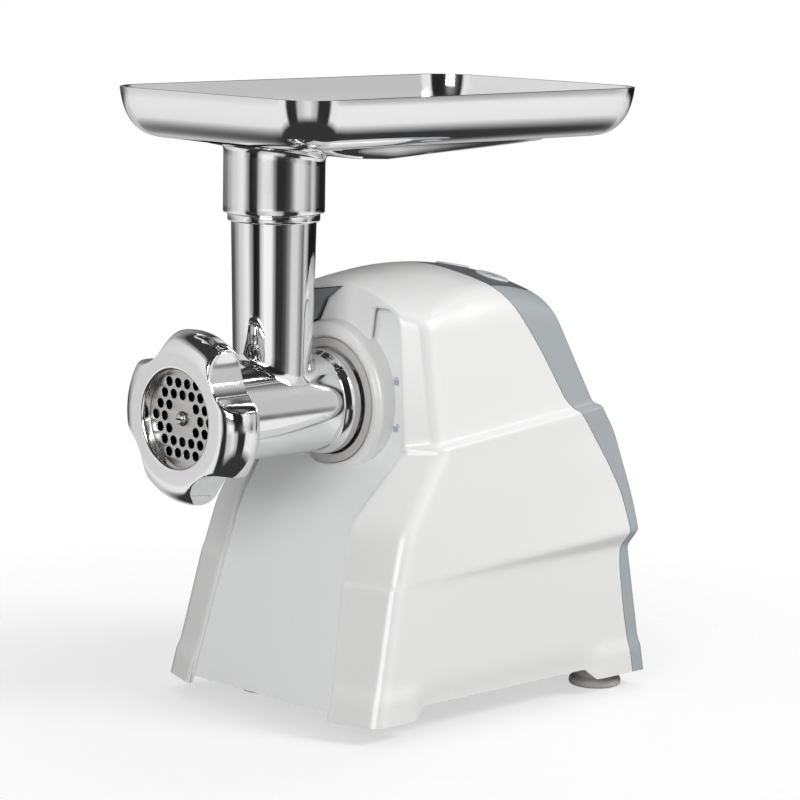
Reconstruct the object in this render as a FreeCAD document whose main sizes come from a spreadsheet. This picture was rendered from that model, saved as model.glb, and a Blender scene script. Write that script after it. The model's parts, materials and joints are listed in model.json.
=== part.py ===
"""Electric meat grinder with a twist-off metal head, a hopper tray and a geared motor base.

Frame: +Z up, the head points to -Y, +X is on the right of a person facing the head.
The origin lies on the table under the middle of the object. All lengths are in millimetres.
"""

import FreeCAD
import Part
import math
import os
import re

import Sketcher
from FreeCAD import Placement, Rotation, Vector

X_AXIS = Vector(1, 0, 0)
Y_AXIS = Vector(0, 1, 0)
Z_AXIS = Vector(0, 0, 1)

# Driving dimensions, one sheet row each. Names ending in _y or _z are places, _r are radii.
DIMENSIONS = {
    # housing
    "feet_drop": 10,
    "wall": 3,
    "panel_wall": 2.5,
    "panel_gap": 0.15,
    "side_notch_tall": 6,
    "front_notch_width": 112,
    "front_notch_tall": 4,
    "roof_half_width": 96,
    "lever_gap": 0.6,
    # head and its axis
    "axis_z": 183,
    "head_front_y": -143,
    "collar_y": -32,
    "barrel_r": 28.4,
    "thread_r": 34.22,
    "barrel_bore_r": 24.6,
    "bead_r": 30.84,
    "spigot_r": 28.9,
    "spigot_end_y": -17,
    "journal_bore_r": 9.06,
    "tube_y": -76.5,
    "tube_low_r": 22.9,
    "tube_top_r": 24.5,
    "tube_bore_r": 21.5,
    "throat_r": 20.5,
    "throat_top_z": 214,
    "tube_ring_z": 291,
    "tube_ring_r": 26.6,
    "tube_neck_r": 25.1,
    "tube_end_z": 329,
    "lug_root_r": 28.2,
    "lug_r": 32.6,
    "lug_width": 9,
    "lug_rear_y": -17,
    "lug_depth": 4.7,
    # plate, knife and nut
    "plate_r": 31,
    "plate_front_y": -144,
    "plate_depth": 5,
    "plate_hole_r": 2.8,
    "plate_pitch": 7.7,
    "plate_centre_r": 5,
    "knife_r": 29.3,
    "knife_depth": 4,
    "nut_front_y": -150,
    "nut_depth": 25,
    "nut_r": 50,
    "nut_mouth_r": 28,
    "nut_bore_r": 34.3,
    "bite_r": 24,
    "bite_centre_r": 61.5,
    # auger
    "stud_r": 3.6,
    "square_width": 9,
    "auger_front_r": 8,
    "auger_rear_r": 11,
    "auger_collar_r": 14,
    "journal_r": 9,
    "flight_r": 24,
    "flight_pitch": 26,
    "flight_run": 81,
    # tray
    "tray_width": 175,
    "tray_front_y": -131.5,
    "tray_length": 277.5,
    "tray_rim_z": 365,
    "tray_depth": 29,
    "tray_sheet": 1.5,
    "tray_corner": 24,
    "tray_base_round": 20,
    "well_drop": 8,
    "well_rear_drop": 2.5,
    "well_width": 118,
    "well_front_y": -111.5,
    "well_length": 221.5,
    "well_ramp": 42,
    "well_deep_end_y": -35,
    "well_rise_end_y": 75,
    "well_corner": 45,
    "sleeve_r": 29.2,
    "sleeve_bore_r": 25.4,
    "sleeve_end_z": 296,
    # socket and catch
    "socket_bore_r": 36,
    "socket_front_r": 46,
    "socket_base_r": 47.5,
    "liner_bore_r": 29,
    "liner_front_y": -33,
    "liner_end_y": -22,
    "entry_root_r": 28,
    "entry_width": 10.6,
    "lever_front_y": -29.6,
    "lever_back_y": -23,
    # gear train
    "gear_wall": 3,
    "gearbox_front_y": -4,
    "gearbox_end_y": 34,
    "gearbox_width": 100,
    "gearbox_low_z": 44,
    "gearbox_top_z": 235,
    "screw_post_r": 5.8,
    "output_teeth": 60,
    "output_module": 1.5,
    "first_teeth": 60,
    "first_module": 1.25,
    "pinion_teeth": 12,
    "tooth_slack": 0.16,
    "output_shaft_r": 11,
    "idler_pin_r": 4,
    # motor
    "motor_shaft_r": 4,
    "rotor_r": 22.5,
    "stator_bore_r": 23.5,
    "stator_width": 80,
    "stator_tall": 72,
    "stator_front_y": 62,
    "stator_depth": 36,
    "bolt_x": 36,
    "bolt_rise": 31,
    "bolt_r": 2,
    "bracket_y": 126,
    # controls
    "panel_y": 68,
    "panel_tilt": -11,
    "panel_width": 104,
    "panel_front": 28,
    "panel_rear": 18,
    "panel_thick": 2.4,
    "button_r": 10.5,
    "button_pitch": 34,
    # base and feet
    "boss_r": 5,
    "boss_tall": 30,
    "base_screw_r": 1.6,
    "foot_screw_r": 1.8,
    "foot_screw_length": 20,
    "base_z": 16,
    "base_thick": 3,
    "foot_r": 16,
    "foot_neck_r": 12.5,
    "foot_front_x": 50,
    "foot_front_y": -34,
    "foot_rear_x": 70,
    "foot_rear_y": 128,
    "cord_x": -50,
    "cord_z": 40,
    "cord_r": 3.6,
    "grommet_r": 7,
}

# Housing outline at rising levels: height at Y=0, tilt of the level about X in degrees,
# front edge of the corner facet, outer edge of that facet, rear corner. Each pair is X, Y.
LEVELS = (
    (10, 0, (62.8, -85.5), (91.5, -75.3), (91.0, 150.0)),
    (86, 0.6, (53.8, -68.4), (86.2, -57.3), (85.5, 140.5)),
    (90.6, 2.67, (53.2, -67.0), (85.9, -56.0), (90.0, 145.6)),
    (118, 0, (50.0, -61.0), (84.0, -46.0), (85.5, 143.5)),
    (158, 0, (60.0, -29.0), (80.3, -17.0), (79.5, 132.5)),
    (163.4, 4.93, (60.0, -28.9), (80.0, -15.6), (78.0, 123.5)),
    (165.4, 4.93, (59.2, -28.7), (75.6, -15.3), (73.6, 120.0)),
    (241, 0, (52.0, -27.0), (65.0, -16.0), (62.5, 90.0)),
    (275, 0, (48.3, -26.0), (58.2, -16.0), (57.4, 74.0)),
)
REAR_CHAMFER = 3

# Arches of the crowned roof, front to rear: Y, height in the middle, crown radius.
ROOF = ((-110, 226, 100), (-28, 252, 105), (-8, 255.8, 120), (26, 259.3, 145), (49, 259, 160),
        (70, 255.8, 168), (92, 248.8, 175), (160, 226, 180))

# Line between the white housing and the grey rear cover seen from the side: Y, Z.
SEAM = (
    (138, 10), (132.5, 48), (130, 77), (131, 89), (136, 96), (132, 120), (122, 140), (108, 163),
    (102, 171.5), (93, 180), (75, 213), (61, 233), (50, 248), (41, 258), (41, 280),
)

# Front of the recessed front panel seen from the side: Y, Z.
PANEL_FACE = ((-83.3, 14), (-59, 118), (-25, 158), (-21.5, 240))

# Half of the front panel's outline seen from the front: X, Z.
PANEL_EDGE = ((60, 14), (48, 118), (57.5, 156), (53, 231), (51, 236.5), (46, 240))

# Release lever seen from the front, between the hood and the socket: X, Z.
LEVER_EDGE = ((4.2, 249.6), (-7.4, 241.6), (-13.4, 229), (-24, 222), (-36, 213), (-41, 226), (-37, 243.5))

# Angles of the head's bayonet lugs from +X to +Z, the turn that locks them, and the catch's angle.
LUG_ANGLES = (90, 210, 330)
LOCK_TURN = 34
CATCH_ANGLE = 116

# X, Z of the screws that hold the gearbox cover, and X, Y of those that hold the base plate.
SCREW_SPOTS = ((-42, 62), (42, 62), (-42, 227), (42, 227))
BASE_SCREW_X = 78
BASE_SCREW_SPOTS = tuple((side * BASE_SCREW_X, y) for side in (-1, 1) for y in (-30, 40, 100))

doc = FreeCAD.newDocument("MeatGrinder")
sheet = doc.addObject("Spreadsheet::Sheet", "dims")
nodes = []


def fill_sheet():
    """Write each driving dimension into the sheet with its alias."""
    for row, (alias, size) in enumerate(DIMENSIONS.items(), start=1):
        sheet.set(f"A{row}", alias)
        sheet.set(f"B{row}", str(size))
        sheet.setAlias(f"B{row}", alias)
    doc.recompute()


def value(expression):
    """The number that an expression of sheet names gives."""
    return float(sheet.evalExpression(str(expression)))


def bound(expression):
    """The expression with each name read from the sheet."""
    return re.sub(r"\b[a-z]\w+\b(?!\()", r"dims.\g<0>", str(expression))


def bind(thing, **properties):
    """Bind properties to expressions; a double underscore in a name stands for a dot."""
    for name, expression in properties.items():
        thing.setExpression(name.replace("__", "."), bound(expression))


def place(thing, at=(0, 0, 0), turn=None):
    """Put an object at a point given by expressions, after an optional rotation."""
    thing.Placement = Placement(Vector(*map(value, at)), turn or Rotation())
    bind(thing, Placement__Base__x=at[0], Placement__Base__y=at[1], Placement__Base__z=at[2])
    return thing


def node(thing, label):
    """Keep an object as one physical piece, under the name of its file."""
    thing.Label = label
    nodes.append(thing)
    return thing


# Sketches and Part Design bodies


def new_body(name):
    return doc.addObject("PartDesign::Body", name)


def new_sketch(body, name, role, offset=0, tilt=0):
    """A sketch on one of the body's own origin planes, moved along its normal."""
    sketch = body.newObject("Sketcher::SketchObject", name)
    plane = next(item for item in body.Origin.OriginFeatures if item.Role == role)
    sketch.AttachmentSupport = [(plane, "")]
    sketch.MapMode = "FlatFace"
    sketch.AttachmentOffset = Placement(Vector(0, 0, value(offset)), Rotation(X_AXIS, tilt))
    if offset != 0:
        bind(sketch, AttachmentOffset__Base__z=offset)
    return sketch


def pin_point(sketch, geometry, point, at):
    """Hold a sketch point at the coordinates that two expressions give."""
    for kind, axis, expression in (("DistanceX", -2, at[0]), ("DistanceY", -1, at[1])):
        size = value(expression)
        if abs(size) < 1e-9:
            sketch.addConstraint(Sketcher.Constraint("PointOnObject", geometry, point, axis))
        elif size > 0:
            row = sketch.addConstraint(Sketcher.Constraint(kind, -1, 1, geometry, point, size))
            sketch.setExpression(f"Constraints[{row}]", bound(expression))
        else:
            row = sketch.addConstraint(Sketcher.Constraint(kind, geometry, point, -1, 1, -size))
            sketch.setExpression(f"Constraints[{row}]", f"-({bound(expression)})")


def draw_outline(sketch, corners):
    """Draw a closed outline of straight lines through corners given as expressions."""
    points = [Vector(value(x), value(y), 0) for x, y in corners]
    count = len(points)
    for start in range(count):
        sketch.addGeometry(Part.LineSegment(points[start], points[(start + 1) % count]), False)
    for start in range(count):
        sketch.addConstraint(Sketcher.Constraint("Coincident", start, 2, (start + 1) % count, 1))
        pin_point(sketch, start, 1, corners[start])


def draw_circle(sketch, radius, centre=(0, 0)):
    """Draw a circle whose radius and centre are expressions."""
    circle = Part.Circle(Vector(*map(value, centre), 0), Z_AXIS, value(radius))
    index = sketch.addGeometry(circle, False)
    row = sketch.addConstraint(Sketcher.Constraint("Radius", index, value(radius)))
    sketch.setExpression(f"Constraints[{row}]", bound(radius))
    pin_point(sketch, index, 3, centre)


def add_revolution(body, name, role, corners):
    """Turn an outline of radius and height pairs about the sketch's vertical axis."""
    sketch = new_sketch(body, name + "_outline", role)
    draw_outline(sketch, corners)
    feature = body.newObject("PartDesign::Revolution", name)
    feature.Profile = sketch
    feature.ReferenceAxis = (sketch, ["V_Axis"])
    feature.Angle = 360
    return feature


def turned(name, corners, upright=False):
    """A body turned from radius and place pairs, about Y through the head axis or about Z."""
    body = new_body(name)
    add_revolution(body, name + "_turning", "XZ_Plane" if upright else "XY_Plane", corners)
    if not upright:
        place(body, (0, 0, "axis_z"))
    return body


def ring(name, outer, inner, start, length, upright=False):
    """A plain tube or washer from a start place along its axis."""
    end = f"({start})+({length})"
    corners = ((inner, start), (outer, start), (outer, end), (inner, end))
    return turned(name, corners, upright)


def padded(name, role, corners, length, offset=0, both_ways=False):
    """A body padded from one closed outline."""
    body = new_body(name)
    sketch = new_sketch(body, name + "_outline", role, offset)
    draw_outline(sketch, corners)
    pad = body.newObject("PartDesign::Pad", name + "_pad")
    pad.Profile = sketch
    bind(pad, Length=length)
    if both_ways:
        pad.SideType = "Symmetric"
    return body


def round_edges(body, name, radius, chosen):
    """Fillet the edges of the body's tip that a test picks."""
    doc.recompute()
    base = body.Tip
    picked = [f"Edge{i}" for i, edge in enumerate(base.Shape.Edges, start=1) if chosen(edge)]
    fillet = body.newObject("PartDesign::Fillet", name)
    fillet.Base = (base, picked)
    bind(fillet, Radius=radius)
    return fillet


def is_line_along(direction):
    """A test for straight edges along a direction."""

    def test(edge):
        return isinstance(edge.Curve, Part.Line) and abs(edge.Curve.Direction.dot(direction)) > 0.999

    return test


# Part primitives and booleans


def box(name, size, at, turn=None):
    """A block with its lowest corner at a point; sizes and places are expressions."""
    block = doc.addObject("Part::Box", name)
    bind(block, Length=size[0], Width=size[1], Height=size[2])
    return place(block, at, turn)


def centred_box(name, size, at):
    """A block centred in X on a point, with its other corner there."""
    return box(name, size, (f"({at[0]})-({size[0]})/2", at[1], at[2]))


def rod(name, radius, length, at, turn=None):
    """A cylinder that starts at a point and runs along +Y, or along a turned +Z."""
    cylinder = doc.addObject("Part::Cylinder", name)
    bind(cylinder, Radius=radius, Height=length)
    return place(cylinder, at, turn or Rotation(X_AXIS, -90))


def upright(name, radius, length, at):
    """A cylinder that starts at a point and runs up."""
    return rod(name, radius, length, at, Rotation())


def cut(name, base, tool):
    result = doc.addObject("Part::Cut", name)
    result.Base = base
    result.Tool = tool
    return result


def common(name, first, second):
    result = doc.addObject("Part::Common", name)
    result.Base = first
    result.Tool = second
    return result


def fuse(name, parts):
    result = doc.addObject("Part::MultiFuse", name)
    result.Shapes = list(parts)
    return result


def group(name, parts):
    """Identical loose pieces kept together as one piece of several solids."""
    result = doc.addObject("Part::Compound", name)
    result.Links = list(parts)
    return result


# Housing shells


def level_corners(level, inset):
    """Closed outline of the housing at one level, moved inwards by an expression."""
    front, side, rear = level[2:]
    half = (
        (f"{front[0]}-0.2*({inset})", f"{front[1]}+({inset})"),
        (f"{side[0]}-({inset})", f"{side[1]}+0.7*({inset})"),
        (f"{rear[0]}-({inset})", f"{rear[1] - REAR_CHAMFER}-0.5*({inset})"),
        (f"{rear[0] - REAR_CHAMFER}-0.5*({inset})", f"{rear[1]}-({inset})"),
    )
    mirrored = tuple((f"-({x})", y) for x, y in reversed(half))
    return half + mirrored


def housing_form(name, inset, extra_drop=0):
    """Solid lofted through the housing's levels, moved inwards by an expression."""
    body = new_body(name)
    sketches = []
    for index, level in enumerate(LEVELS):
        drop = extra_drop if index == 0 else 0
        sketch = new_sketch(body, f"{name}_level_{index}", "XY_Plane", level[0] - drop, level[1])
        draw_outline(sketch, level_corners(level, inset))
        sketches.append(sketch)
    loft = body.newObject("PartDesign::AdditiveLoft", name + "_loft")
    loft.Profile = sketches[0]
    loft.Sections = sketches[1:]
    loft.Ruled = True
    return body


def draw_arch(sketch, half_width, bottom, top, radius):
    """Draw a block with an arched top whose middle height and radius are expressions."""
    crown, bend = value(top), value(radius)
    edge = crown - bend + math.sqrt(bend**2 - half_width**2)
    low_left, low_right = Vector(-half_width, bottom, 0), Vector(half_width, bottom, 0)
    left, right = Vector(-half_width, edge, 0), Vector(half_width, edge, 0)
    sketch.addGeometry(Part.LineSegment(low_left, low_right), False)
    sketch.addGeometry(Part.LineSegment(low_right, right), False)
    sketch.addGeometry(Part.Arc(right, Vector(0, crown, 0), left), False)
    sketch.addGeometry(Part.LineSegment(left, low_left), False)
    pin_point(sketch, 0, 1, (-half_width, bottom))
    pin_point(sketch, 0, 2, (half_width, bottom))
    joints = ((0, 2, 1, 1), (1, 2, 2, 1), (2, 2, 3, 1), (3, 2, 0, 1))
    for constraint in joints:
        sketch.addConstraint(Sketcher.Constraint("Coincident", *constraint))
    sketch.addConstraint(Sketcher.Constraint("Vertical", 1))
    sketch.addConstraint(Sketcher.Constraint("Vertical", 3))
    pin_point(sketch, 2, 3, (0, f"({top})-({radius})"))
    row = sketch.addConstraint(Sketcher.Constraint("Radius", 2, bend))
    sketch.setExpression(f"Constraints[{row}]", bound(radius))


def roof_space(name, lowered):
    """Block under the crowned roof, lowered by an expression, to trim the lofted form."""
    body = new_body(name)
    sketches = []
    for index, (y, top, radius) in enumerate(ROOF):
        sketch = new_sketch(body, f"{name}_arch_{index}", "XZ_Plane", -y)
        draw_arch(sketch, value("roof_half_width"), -20, f"{top}-({lowered})", radius)
        sketches.append(sketch)
    loft = body.newObject("PartDesign::AdditiveLoft", name + "_loft")
    loft.Profile = sketches[0]
    loft.Sections = sketches[1:]
    loft.Ruled = True
    return body


def build_shell():
    """The closed white and grey shell before it is divided into its two mouldings."""
    outside = common("shell_outside", housing_form("outer_form", 0), roof_space("outer_roof", 0))
    inside = common(
        "shell_inside",
        housing_form("inner_form", "wall", extra_drop=5),
        roof_space("inner_roof", "wall"),
    )
    hollow = cut("shell_hollow", outside, inside)
    notch = centred_box("side_notch", (200, 146, "side_notch_tall"), (0, -42, "feet_drop"))
    front_size = ("front_notch_width", 20, "front_notch_tall")
    front_notch = centred_box("front_notch", front_size, (0, -92, "feet_drop"))
    return cut("shell", hollow, fuse("leg_notches", (notch, front_notch)))


def front_opening(name, shrink):
    """Block with the front panel's outline, made smaller by an expression."""
    half = [(f"{x}-({shrink})", f"{z}-({shrink})" if z > 200 else z) for x, z in PANEL_EDGE]
    other = [(f"-({x})", z) for x, z in reversed(half)]
    return padded(name, "XZ_Plane", half + other, 110, offset=-5)


def hood():
    """Block of the hood that comes down from the roof to the socket, beside the lever."""
    edge = ((-30, 245), (-30, 200), (27.6, 200), (31.4, 245))
    block = padded("hood_block", "XZ_Plane", edge, 4, offset=24)
    return cut("hood_cut", block, rod("hood_arc", "socket_base_r+0.1", 20, (0, -40, "axis_z")))


def lever_block(name, grown, start, depth):
    """Block with the release lever's outline, made larger by a margin."""
    centre_x = sum(x for x, _ in LEVER_EDGE) / len(LEVER_EDGE)
    centre_z = sum(z for _, z in LEVER_EDGE) / len(LEVER_EDGE)
    corners = []
    for x, z in LEVER_EDGE:
        reach = math.hypot(x - centre_x, z - centre_z)
        scale = 1 + grown / reach
        corners.append((centre_x + (x - centre_x) * scale, centre_z + (z - centre_z) * scale))
    return padded(name, "XZ_Plane", corners, depth, offset=-(start + depth))


def build_housing(shell):
    """White housing, grey rear cover and the recessed front panel."""
    seam = ((-120, 0), (138, 0)) + SEAM + ((-120, 280),)
    front_part = padded("front_part", "YZ_Plane", seam, 240, both_ways=True)
    white = common("white_shell", shell, front_part)
    opened = cut("opened_shell", white, front_opening("opening", 0))
    bosses, boss_holes = [], []
    for index, (x, y) in enumerate(BASE_SCREW_SPOTS):
        bosses.append(upright(f"boss_{index}", "boss_r", "boss_tall", (x, y, "base_z+base_thick")))
        rib_x = x if x > 0 else f"{x}-9.4"
        bosses.append(box(f"rib_{index}", (9.4, 2, "boss_tall"), (rib_x, y - 1, "base_z+base_thick")))
        boss_holes.append(upright(f"boss_hole_{index}", "base_screw_r", 15, (x, y, "base_z+base_thick")))
    hooded = fuse("hooded_shell", (opened, hood()))
    lever_opening = lever_block("lever_opening", value("lever_gap"), -50, 40)
    open_for_lever = cut("lever_opening_cut", hooded, lever_opening)
    body = fuse("housing_with_bosses", [open_for_lever] + bosses)
    holes = group("boss_holes", boss_holes)
    node(cut("housing_cut", body, holes), "main_housing")

    grey = cut("grey_shell", shell, doc.getObject("front_part"))
    window = panel_window("panel_window", 0)
    cord_hole = rod("cord_hole", "grommet_r", 30, ("cord_x", 125, "cord_z"))
    cord_seat = rod("cord_seat", 9.4, 10, ("cord_x", 145.6, "cord_z"))
    openings = fuse("rear_openings", (window, cord_hole, cord_seat))
    node(cut("rear_cut", grey, openings), "rear_cover")

    face = list(PANEL_FACE)
    back = [(f"{y}+panel_wall", z) for y, z in reversed(face)]
    strip = padded("panel_strip", "YZ_Plane", face + back, 130, both_ways=True)
    plate = common("panel_plate", strip, front_opening("panel_outline", "panel_gap"))
    pillars = [
        rod(f"panel_pillar_{x}_{z}", 4.5, 40.9, (x, -45, z)) for x in (-42, 42) for z in (144, 224)
    ]
    trimmed = [common(f"pillar_trim_{i}", p, behind_panel(i)) for i, p in enumerate(pillars)]
    solid = fuse("panel_with_pillars", [plate] + trimmed)
    hole = rod("socket_hole", "socket_base_r+0.1", 60, (0, -60, "axis_z"))
    stem = catch_block("stem_hole", 9, 48, 61, -30, 20)
    lever_space = lever_block("panel_lever_space", value("lever_gap"), -40, 25)
    node(cut("front_cut", solid, fuse("front_openings", (hole, stem, lever_space))), "front_panel")


def behind_panel(index):
    """Space behind the front panel's face, so that a pillar ends in it."""
    line = [(f"{y}+panel_wall/2", z) for y, z in PANEL_FACE]
    line += [(20, 240), (20, 14)]
    return padded(f"behind_panel_{index}", "YZ_Plane", line, 130, both_ways=True)


# Metal head


def build_head():
    """Barrel with its flange bead, bayonet lugs and bore, and a hole under the feed tube."""
    outer = turned("barrel_outer", (
        (0, "head_front_y"), ("thread_r", "head_front_y"), ("thread_r", -127), ("barrel_r", -121),
        ("barrel_r", "collar_y-12"), ("bead_r-1", "collar_y-10.5"), ("bead_r", "collar_y-8.5"),
        ("bead_r", "collar_y-2"), ("bead_r-0.8", "collar_y-0.5"), ("spigot_r", "collar_y-0.5"),
        ("spigot_r", "spigot_end_y"), (0, "spigot_end_y"),
    ))
    lug_size = ("lug_r-lug_root_r", "lug_depth", "lug_width")
    lugs = [
        box(f"lug_{index}", lug_size, lug_corner(angle), Rotation(Y_AXIS, -angle))
        for index, angle in enumerate(LUG_ANGLES)
    ]
    key = centred_box("plate_key", (2.6, 4, 2), (0, "head_front_y", "axis_z+30"))
    bore = turned("barrel_bore", (
        (0, "head_front_y-1"), ("plate_r+0.06", "head_front_y-1"),
        ("plate_r+0.06", "plate_front_y+plate_depth"), (30, "plate_front_y+plate_depth"), (30, -133),
        ("barrel_bore_r", -131), ("barrel_bore_r", -38), ("journal_bore_r", -38),
        ("journal_bore_r", "collar_y"), ("barrel_bore_r", "collar_y"),
        ("barrel_bore_r", "spigot_end_y+1"), (0, "spigot_end_y+1"),
    ))
    throat = upright("throat", "throat_r", 40, (0, "tube_y", "axis_z"))
    hollow = cut("head_hollow", fuse("head_solid", [outer] + lugs), fuse("head_bores", (bore, throat)))
    node(fuse("head_with_key", (hollow, key)), "head_casting")


def lug_corner(angle):
    """Corner of a lug block that points away from the head axis at an angle from +X to +Z."""
    return block_corner(angle, value("lug_root_r"), value("lug_width"), "lug_rear_y-lug_depth")


def block_corner(angle, inner, width, start):
    """Lowest corner of a block that points away from the head axis, from an inner radius."""
    turn = math.radians(angle)
    x = inner * math.cos(turn) + width / 2 * math.sin(turn)
    rise = inner * math.sin(turn) - width / 2 * math.cos(turn)
    return (x, start, f"axis_z+{rise}")


def build_feed_tube():
    """Feed tube that stands on the barrel, with the ring and neck that carry the tray."""
    tube = turned("tube_outer", (
        (0, "axis_z"), ("tube_low_r+3", "axis_z"), ("tube_low_r+3", "axis_z+20"),
        ("tube_low_r+1", "axis_z+27"), ("tube_low_r", "axis_z+32"), ("tube_top_r", "tube_ring_z"),
        ("tube_ring_r-0.6", "tube_ring_z"), ("tube_ring_r", "tube_ring_z+0.8"),
        ("tube_ring_r", "tube_ring_z+4"), ("tube_ring_r-0.8", "tube_ring_z+4.8"),
        ("tube_neck_r", "tube_ring_z+4.8"), ("tube_neck_r", "tube_end_z"), (0, "tube_end_z"),
    ), upright=True)
    channel = turned("tube_channel", (
        (0, "axis_z-1"), ("throat_r", "axis_z-1"), ("throat_r", "throat_top_z"),
        ("tube_bore_r", "throat_top_z"), ("tube_bore_r", "tube_end_z+1"), (0, "tube_end_z+1"),
    ), upright=True)
    for body in (tube, channel):
        place(body, (0, "tube_y", 0))
    saddle = rod("tube_saddle", "barrel_r", 80, (0, "tube_y-40", "axis_z"))
    node(cut("tube_cut", tube, fuse("tube_spaces", (channel, saddle))), "feed_tube")


def build_plate():
    """Perforated disc: a hexagonal field of holes round the stud hole, and a key notch."""
    body = new_body("plate_body")
    sketch = new_sketch(body, "plate_outline", "XZ_Plane")
    draw_circle(sketch, "plate_r")
    draw_circle(sketch, "plate_centre_r")
    row_rise = math.sqrt(3) / 2
    for row in range(-3, 4):
        holes = 7 - abs(row)
        for column in range(holes):
            across = column - (holes - 1) / 2
            if math.hypot(across, row * row_rise) > 1.01:
                centre = (f"{across}*plate_pitch", f"{row * row_rise}*plate_pitch")
                draw_circle(sketch, "plate_hole_r", centre)
    pad = body.newObject("PartDesign::Pad", "plate_pad")
    pad.Profile = sketch
    bind(pad, Length="plate_depth")
    place(body, (0, "plate_front_y+plate_depth", "axis_z"))
    notch = centred_box("plate_notch", (2.8, 10, 4), (0, "plate_front_y-2", "axis_z+29.8"))
    node(cut("plate_cut", body, notch), "grinding_plate")


def build_ring_nut():
    """Domed nut with four finger lobes between four hollows."""
    body = new_body("nut_body")
    rear = "nut_front_y+nut_depth"
    add_revolution(body, "nut_dome", "XY_Plane", (
        ("nut_mouth_r+1.5", "nut_front_y"), (36, "nut_front_y+0.2"), (42, "nut_front_y+1.6"),
        (46.5, "nut_front_y+5"), ("nut_r-0.7", "nut_front_y+9"), ("nut_r", "nut_front_y+13"),
        ("nut_r-0.6", "nut_front_y+18"), (47.5, "nut_front_y+22.5"), (44, rear),
        ("nut_bore_r", rear), ("nut_bore_r", "plate_front_y-0.1"),
        ("nut_mouth_r", "plate_front_y-0.1"), ("nut_mouth_r", "nut_front_y+1.5"),
    ))
    sketch = new_sketch(body, "bite_outline", "XZ_Plane")
    turn = math.radians(32)
    draw_circle(sketch, "bite_r", (f"bite_centre_r*{math.cos(turn)}", f"bite_centre_r*{math.sin(turn)}"))
    pocket = body.newObject("PartDesign::Pocket", "bite")
    pocket.Profile = sketch
    pocket.Type = "ThroughAll"
    pocket.SideType = "Symmetric"
    doc.recompute()
    pattern = body.newObject("PartDesign::PolarPattern", "bites")
    pattern.Originals = [pocket]
    pattern.Axis = (sketch, ["N_Axis"])
    pattern.Angle = 360
    pattern.Occurrences = 4
    body.Tip = pattern
    place(body, (0, 0, "axis_z"))
    node(body, "ring_nut")


def build_auger():
    """Feed screw with its knife square and stud in front and its journal behind."""
    body = new_body("auger_body")
    add_revolution(body, "auger_core", "XY_Plane", (
        (0, "plate_front_y-2"), ("stud_r-0.6", "plate_front_y-2"), ("stud_r", "plate_front_y-1.4"),
        ("stud_r", -134.8), ("auger_front_r", -134.8), ("auger_rear_r", -46), ("auger_collar_r", -44),
        ("auger_collar_r", -40), ("journal_r", -40), ("journal_r", -31), (0, -31),
    ))
    sketch = new_sketch(body, "flight_outline", "XY_Plane")
    draw_outline(sketch, ((6, -131.6), ("flight_r", -130), ("flight_r", -127), (6, -125.4)))
    helix = body.newObject("PartDesign::AdditiveHelix", "flight")
    helix.Profile = sketch
    helix.ReferenceAxis = (sketch, ["V_Axis"])
    helix.Mode = 0
    bind(helix, Pitch="flight_pitch", Height="flight_run")
    place(body, (0, 0, "axis_z"))
    square = centred_box(
        "knife_square", ("square_width", 4.1, "square_width"), (0, -138.9, "axis_z-square_width/2")
    )
    node(fuse("auger_fused", (body, square)), "auger")


def build_knife():
    """Four-armed knife on the auger's square."""
    hub = rod("knife_hub", 11, "knife_depth", (0, -138.9, "axis_z"))
    arms = [
        box(f"knife_arm_{index}", ("2*knife_r-3", "knife_depth", 9), (0, 0, 0))
        for index in range(2)
    ]
    place(arms[0], ("1.5-knife_r", -138.9, "axis_z-4.5"))
    place(arms[1], (-4.5, -138.9, "axis_z+knife_r-1.5"), Rotation(Y_AXIS, 90))
    square = centred_box(
        "knife_hole", ("square_width", 10, "square_width"), (0, -142, "axis_z-square_width/2")
    )
    node(cut("knife_cut", fuse("knife_cross", [hub] + arms), square), "cutting_knife")


def build_drive_line():
    """Pieces that turn with the auger, behind its journal."""
    node(ring("washer", 13, "journal_r", -39.9, 1.8), "thrust_washer")
    square = ("square_width", 23, "square_width")
    corner = (0, -31, "axis_z-square_width/2")
    node(centred_box("drive_square", square, corner), "auger_drive_square")
    shaft = turned("output_turning", (
        (0, -26), ("output_shaft_r", -26), ("output_shaft_r", 20.5), (8, 20.5), (8, 36), (0, 36),
    ))
    socket = centred_box(
        "output_socket", ("square_width", 18, "square_width"), (0, -26, "axis_z-square_width/2")
    )
    node(cut("output_cut", shaft, socket), "output_shaft")


# Tray


def build_tray():
    """Pressed tray with a sunken well, and the sleeve that drops over the feed tube."""
    outside = fuse("tray_solid", (rounded_pan("pan_outer", 0), ramped_well("well_outer", 0)))
    inside = (rounded_pan("pan_inner", "tray_sheet"), ramped_well("well_inner", "tray_sheet"))
    hole = upright("sleeve_hole", "sleeve_bore_r", 60, (0, "tube_y", "sleeve_end_z"))
    node(cut("tray_cut", outside, fuse("tray_spaces", inside + (hole,))), "hopper_tray")

    tall = "tray_rim_z-tray_depth-sleeve_end_z"
    sleeve = ring("sleeve_ring", "sleeve_r", "sleeve_bore_r", "sleeve_end_z", tall, upright=True)
    place(sleeve, (0, "tube_y", 0))
    node(cut("sleeve_cut", sleeve, outside), "tray_sleeve")


def rounded_rectangle(name, width, front, length, low, tall, corner, inset):
    """Padded rectangle with rounded upright edges, moved inwards by an expression."""
    half = f"({width})/2-({inset})"
    start = f"({front})+({inset})"
    end = f"({front})+({length})-({inset})"
    body = padded(
        name, "XY_Plane",
        ((half, start), (half, end), (f"-({half})", end), (f"-({half})", start)), tall, offset=low,
    )
    round_edges(body, name + "_corners", f"({corner})-({inset})", is_line_along(Z_AXIS))
    return body


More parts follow.
